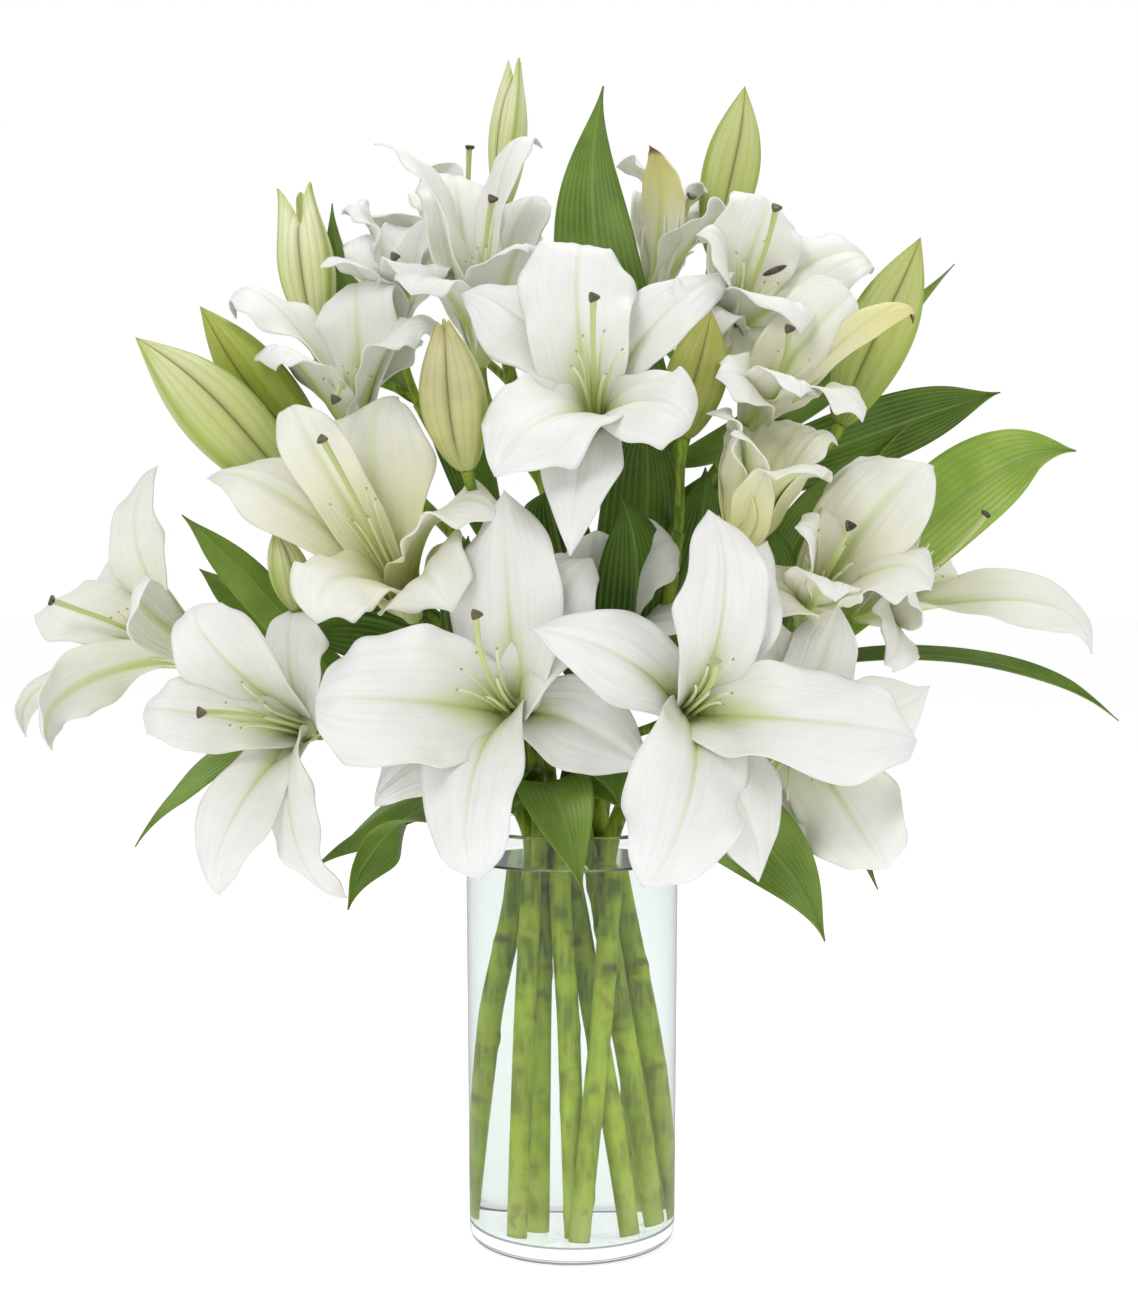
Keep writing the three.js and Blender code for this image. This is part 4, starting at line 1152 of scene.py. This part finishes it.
# -------------------------------------------------------------------------------------------------
# Hearts: the green tube, the thick style with its dark three-lobed stigma, and six thin
# filaments. The florist has pulled the anthers off, so that pollen doesn't stain the petals; a
# few were missed.
STYLE_RADIUS = 1.15
STIGMA_RADIUS = 3.0
FILAMENTS = 6
FILAMENT_RADIUS = 1.0
FILAMENT_SHARE = 0.62
ANTHER_LENGTH = 16
ANTHER_RADIUS = 1.7
TUBE_SIDES = 24
STYLE_SIDES = 14
FILAMENT_SIDES = 8
ANTHER_SIDES = 10
TUBE_STEPS = 10
STYLE_STEPS = 40
FILAMENT_STEPS = 24
ANTHER_STEPS = 12
# Places of the heart's materials. What is left of the anthers wears the stigma's brown.
STIGMA, FILAMENT = 1, 2
LEFT_ANTHERS = {"bloom_half_open": 2, "bloom_top_right": 1}
OWN_PISTILS = ("bloom_front_right", "bloom_front_centre", "bloom_centre_high", "bloom_left")

style_skin, tree, shader = new_material("style_skin")
blotches, streaks = use_mottling(tree, blotch_scale=120, streak_scale=500)
green = ramp(tree, layer_value(tree, "along"), [
    (0.0, (0.36, 0.47, 0.09)), (0.6, (0.50, 0.58, 0.20)), (1.0, (0.46, 0.52, 0.20)),
])
green = tinge(tree, green, blotches, 0.35, (0.66, 0.70, 0.42))
tree.links.new(green, shader.inputs["Base Color"])
set_sockets(shader, {"Roughness": 0.4})
raise_surface(tree, shader, streaks, strength=0.15, distance=0.0003)

stigma_skin, tree, shader = new_material("stigma_skin")
blotches, _ = use_mottling(tree, blotch_scale=500, streak_scale=700)
brown = ramp(tree, blotches, [(0.35, (0.02, 0.012, 0.012)), (0.65, (0.09, 0.05, 0.03))])
brown = blend(tree, layer_value(tree, "tint"), brown, (0.45, 0.48, 0.24))
tree.links.new(brown, shader.inputs["Base Color"])
set_sockets(shader, {"Roughness": 0.35, "Coat Weight": 0.3})
raise_surface(tree, shader, blotches, strength=0.6, distance=0.0006)

filament_skin, tree, shader = new_material("filament_skin")
blotches, streaks = use_mottling(tree, blotch_scale=150, streak_scale=400)
pale = ramp(tree, layer_value(tree, "along"), [
    (0.0, (0.44, 0.54, 0.12)), (0.5, (0.62, 0.68, 0.30)), (0.93, (0.76, 0.78, 0.52)),
    (1.0, (0.30, 0.18, 0.07)),
])
pale = tinge(tree, pale, blotches, 0.3, (0.88, 0.88, 0.80))
tree.links.new(pale, shader.inputs["Base Color"])
set_sockets(shader, {"Roughness": 0.45})
raise_surface(tree, shader, streaks, strength=0.1, distance=0.0002)


def stigma(bm, centre, facing, radius, tint):
    """Three fleshy lobes round a small dimple."""
    tinted = bm.verts.layers.float["tint"]
    ball = bmesh.ops.create_uvsphere(bm, u_segments=30, v_segments=14, radius=1)["verts"]
    turn = facing.to_track_quat("Z", "Y")
    for v in ball:
        three_fold = math.cos(3 * math.atan2(v.co.y, v.co.x))
        lobes = 0.78 + 0.24 * three_fold ** 2 * (1 if three_fold > 0 else -0.4)
        flat = Vector((v.co.x * lobes, v.co.y * lobes, 0.55 * v.co.z))
        flat.z -= 0.22 * max(0.0, v.co.z) ** 4
        v[tinted] = tint
        v.co = (centre + turn @ (flat * radius)) * MM
    return ball


def tube_radius(share):
    """The green tube widens from its heel, which is rounded off, to its mouth among the tepals."""
    return TUBE_HEEL_RADIUS + (TUBE_MOUTH_RADIUS - TUBE_HEEL_RADIUS) * share - 2 * (1 - share) ** 6


def style_radius(share):
    """The style swells over the seed case and again under the stigma."""
    return STYLE_RADIUS + 0.9 * math.exp(-((share - 0.12) / 0.1) ** 2) + 0.5 * share ** 6


def filament_radius(share):
    """A filament tapers to half its thickness."""
    return FILAMENT_RADIUS * (1 - 0.5 * share)


def anther_radius(share):
    """An anther is a blunt spindle."""
    return ANTHER_RADIUS * math.sqrt(max(0.02, math.sin(math.pi * share)))


def paint(verts, slot):
    """Gives the faces round some vertices one of the piece's materials."""
    for face in {f for v in verts for f in v.link_faces}:
        face.material_index = slot


for order, (name, bloom) in enumerate(BLOOMS.items()):
    rng = random.Random(800 + order)
    facing = facing_of(bloom)
    base = Vector(bloom["base"])
    end = base + Vector(bloom["pistil"])
    mouth = base + facing * TUBE_LENGTH
    bm = plant_mesh()
    heel = [
        base - facing * 0.3 + facing * (TUBE_LENGTH + 1) * i / TUBE_STEPS
        for i in range(TUBE_STEPS + 1)
    ]
    rod(bm, heel, tube_radius, TUBE_SIDES)
    bend = mouth + facing * 0.5 * (end - mouth).length
    line_of_style = [base + facing * 4, bend, end]
    style = curve(line_of_style, STYLE_STEPS)
    rod(bm, style, style_radius, STYLE_SIDES)
    across = facing.orthogonal().normalized()
    reach = (end - base).length * FILAMENT_SHARE
    middle = bezier(line_of_style, FILAMENT_SHARE)[0].lerp(base + facing * reach, 0.45)
    for index in range(FILAMENTS):
        away = Matrix.Rotation(math.radians(60 * index + rng.uniform(-9, 9)), 3, facing) @ across
        start = base + facing * 8 + away * 3
        tip = middle + facing * rng.uniform(-6, 6) + away * rng.uniform(7, 15)
        rise = start + facing * reach * 0.45
        line = curve([start, rise, tip - away * 4 - facing * reach * 0.1, tip], FILAMENT_STEPS)
        paint(rod(bm, line, filament_radius, FILAMENT_SIDES), FILAMENT)
        if index < LEFT_ANTHERS.get(name, 0):
            swing = (across + facing * 0.3).normalized()
            anther = [
                tip + swing * (i / ANTHER_STEPS - 0.5) * ANTHER_LENGTH
                for i in range(ANTHER_STEPS + 1)
            ]
            paint(rod(bm, anther, anther_radius, ANTHER_SIDES), STIGMA)
    tip_way = (style[-1] - style[-2]).normalized()
    green_stigma = 0.85 if name == "bloom_front_right" else rng.uniform(0, 0.15)
    paint(stigma(bm, end, tip_way, STIGMA_RADIUS, green_stigma), STIGMA)
    piece = finished(name.replace("bloom", "heart"), bm, style_skin, stigma_skin, filament_skin)
    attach(piece, "root")
    if name in OWN_PISTILS:
        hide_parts(name.replace("bloom", "pistil"))
    else:
        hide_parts(name)


# -------------------------------------------------------------------------------------------------
# Buds: closed heads, three-sided, with the seams where the outer tepals will part and a raised
# rib down the middle of each. They ripen from green to cream, from the tip down.
BUD_SEGMENTS = 96
BUD_RINGS = 56

bud_skin, tree, shader = new_material("bud_skin")
along, rib, seam, ripe = (layer_value(tree, name) for name in ("along", "side", "mark", "tint"))
vein, tan = layer_value(tree, "vein"), layer_value(tree, "flush")
blotches, streaks = use_mottling(tree, blotch_scale=60, streak_scale=260)
unripe = ramp(tree, along, [
    (0.0, (0.15, 0.26, 0.01)), (0.5, (0.31, 0.38, 0.02)), (1.0, (0.38, 0.43, 0.035)),
])
creamy = ramp(tree, along, [
    (0.0, (0.34, 0.44, 0.05)), (0.35, (0.64, 0.68, 0.24)), (0.8, (0.82, 0.81, 0.56)),
    (1.0, (0.60, 0.63, 0.22)),
])
green = blend(tree, ripe, unripe, creamy)
pallor = maths(tree, "MULTIPLY_ADD", ripe, 0.34, 0.02)
green = tinge(tree, green, mask(tree, rib, 0.25, 0.0), pallor, (0.80, 0.82, 0.56))
green = tinge(tree, green, maths(tree, "POWER", vein, 5.0), 0.42, (0.28, 0.38, 0.04))
green = tinge(tree, green, rib, 0.75, (0.24, 0.38, 0.03))
green = tinge(tree, green, streaks, 0.22, (0.66, 0.69, 0.26))
tanned = ramp(tree, blotches, [(0.3, (0.26, 0.19, 0.06)), (0.7, (0.44, 0.36, 0.14))])
green = tinge(tree, green, tan, maths(tree, "MULTIPLY_ADD", along, 0.3, 0.4), tanned)
green = tinge(tree, green, seam, 0.85, (0.16, 0.15, 0.025))
tree.links.new(green, shader.inputs["Base Color"])
set_sockets(shader, {
    "Roughness": 0.42,
    "Subsurface Weight": 0.15, "Subsurface Radius": (1.0, 1.0, 0.5), "Subsurface Scale": 0.002,
})
sunken_veins = maths(tree, "MULTIPLY_ADD", vein, -0.6, streaks)
raise_surface(tree, shader, sunken_veins, strength=0.6, distance=0.0007)


def bud(bm, start, end, width, ripe, turn, parted, tan):
    """A three-sided spindle. The ribs of the outer tepals are its corners, with seams between."""
    layers = bm.verts.layers.float
    along, rib_of, seam_of = layers["along"], layers["side"], layers["mark"]
    tinted, vein, tanned = layers["tint"], layers["vein"], layers["flush"]
    axis = end - start
    facing = axis.normalized()
    upright = facing.to_track_quat("Z", "Y")
    ball = bmesh.ops.create_uvsphere(
        bm, u_segments=BUD_SEGMENTS, v_segments=BUD_RINGS, radius=1,
    )["verts"]
    for v in ball:
        share = math.acos(max(-1, min(1, -v.co.z))) / math.pi
        angle = math.atan2(v.co.y, v.co.x)
        # A lily bud is fullest just above its middle and narrows into a long blunt point.
        body = math.sin(math.pi * share ** 0.95) ** (0.55 + 0.45 * share) if 0 < share < 1 else 0.0
        toward_rib = 0.5 + 0.5 * math.cos(3 * angle)
        rib = toward_rib ** 26
        seam = (1 - toward_rib) ** 90 * min(1, 4 * share)
        around = 0.97 + 0.11 * (2 * toward_rib - 1) + 0.05 * rib - 0.09 * seam
        around += 0.03 * math.sin(3 * angle) * (1 - toward_rib)
        opened = parted * max(0.0, (share - 0.6) / 0.4) ** 2
        ring = 1 if 0 < share < 1 else 0
        radius = 0.5 * width * (body * around + 0.55 * opened * toward_rib * ring)
        height = share - opened * 0.22 * (1 - toward_rib * ring)
        v[along], v[rib_of], v[seam_of], v[tinted] = share, rib, seam, ripe
        v[vein] = 0.5 + 0.5 * math.cos(21 * angle)
        v[tanned] = tan
        twisted = angle + turn + 0.35 * share
        flat = Vector((
            math.cos(twisted) * radius, math.sin(twisted) * radius, height * axis.length,
        ))
        v.co = (start + upright @ flat) * MM


for name, spec in BUDS.items():
    bm = plant_mesh()
    bud(
        bm, Vector(spec["base"]), Vector(spec["tip"]), spec["width"], spec["ripe"], spec["turn"],
        parted=spec.get("parted", 0.0), tan=spec.get("tan", 0.0),
    )
    piece = finished(name.replace("bud", "closed"), bm, bud_skin)
    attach(piece, "root")
    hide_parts(name)


# -------------------------------------------------------------------------------------------------
# Studio: a plain white table in soft, even light, and a camera a metre in front of the vase, a
# little above the blooms' lower edge, that looks almost level.
FLOOR_SIZE = 40.0
CAMERA_DISTANCE = 0.968
CAMERA_HEIGHT = 0.319
CAMERA_SIDE = -0.0015
CAMERA_TILT = 1.8
FOCAL_LENGTH = 54.8
SKY_LIGHT = 0.5
MIRRORED_LIGHT = 0.48
GATHERED_LIGHT = 3.0
TABLE_WHITE = (0.85, 0.85, 0.85)
MIRRORED_GREY = (0.2, 0.2, 0.2)
TABLE_GLOW = 0.56
MIRRORED_GLOW = 0.25
BOUQUET_MIDDLE = Vector((0, 0, 0.33))


def seen_in_mirror(tree):
    """Mask: 1 for a ray that has met a glossy surface and nothing dull, 0 for any other."""
    ray = tree.nodes.new("ShaderNodeLightPath")
    reflected = maths(tree, "GREATER_THAN", ray.outputs["Glossy Depth"], 0.5)
    undimmed = maths(tree, "LESS_THAN", ray.outputs["Diffuse Depth"], 0.5)
    return maths(tree, "MULTIPLY", reflected, undimmed)


bm = bmesh.new()
bmesh.ops.create_grid(bm, x_segments=1, y_segments=1, size=FLOOR_SIZE / 2)
table_white, tree, shader = new_material("table_white")
# Its reflection in the glass is held back, so that the stems stand clear behind it.
mirrored = seen_in_mirror(tree)
colour = blend(tree, mirrored, TABLE_WHITE, MIRRORED_GREY)
glow = maths(tree, "MULTIPLY_ADD", mirrored, MIRRORED_GLOW - TABLE_GLOW, TABLE_GLOW)
tree.links.new(colour, shader.inputs["Base Color"])
tree.links.new(glow, shader.inputs["Emission Strength"])
set_sockets(shader, {"Roughness": 0.6, "Emission Color": (1, 1, 1, 1)})
table = finished("table_top", bm, table_white)

# The camera and clear glass see pure white. The light on the flowers is gentler, what is mirrored
# in the glass dimmer still, and what the vase and its water gather on the stems is brighter.
world = bpy.data.worlds.new("white_studio")
world.use_nodes = True
tree = world.node_tree
backdrop = tree.nodes["Background"]
set_sockets(backdrop, {"Color": (1, 1, 1, 1)})
ray = tree.nodes.new("ShaderNodeLightPath")
seen = maths(tree, "MAXIMUM", ray.outputs["Is Camera Ray"], ray.outputs["Is Transmission Ray"])
strength = maths(tree, "MULTIPLY_ADD", seen, 1 - SKY_LIGHT, SKY_LIGHT)
scattered = maths(tree, "GREATER_THAN", ray.outputs["Diffuse Depth"], 0.5)
gathered = maths(tree, "MULTIPLY", scattered, ray.outputs["Is Transmission Ray"])
strength = maths(tree, "MULTIPLY_ADD", gathered, GATHERED_LIGHT, strength)
unmirrored = maths(tree, "SUBTRACT", 1, seen_in_mirror(tree))
strength = maths(tree, "MAXIMUM", maths(tree, "MULTIPLY", strength, unmirrored), MIRRORED_LIGHT)
tree.links.new(strength, backdrop.inputs["Strength"])
bpy.context.scene.world = world
bpy.context.scene.view_settings.view_transform = "Standard"


def soft_light(name, place, size, power):
    """A square soft box that points at the middle of the bouquet."""
    lamp = bpy.data.lights.new(name, "AREA")
    lamp.shape = "SQUARE"
    lamp.size = size
    lamp.energy = power
    box = bpy.data.objects.new(name, lamp)
    box.location = place
    box.rotation_euler = (BOUQUET_MIDDLE - Vector(place)).to_track_quat("-Z", "Y").to_euler()
    bpy.context.scene.collection.objects.link(box)


soft_light("key_light", (-0.8, -1.3, 1.6), size=0.8, power=11.5)
soft_light("fill_light", (1.4, -0.9, 0.9), size=1.0, power=4)
soft_light("top_light", (0.2, 0.5, 1.9), size=1.2, power=12)

lens = bpy.data.cameras.new("front_view")
lens.sensor_fit = "VERTICAL"
lens.sensor_height = 36
lens.lens = FOCAL_LENGTH
camera = bpy.data.objects.new("front_view", lens)
camera.location = (CAMERA_SIDE, -CAMERA_DISTANCE, CAMERA_HEIGHT)
camera.rotation_euler = (math.radians(90 - CAMERA_TILT), 0, 0)
bpy.context.scene.collection.objects.link(camera)
bpy.context.scene.camera = camera
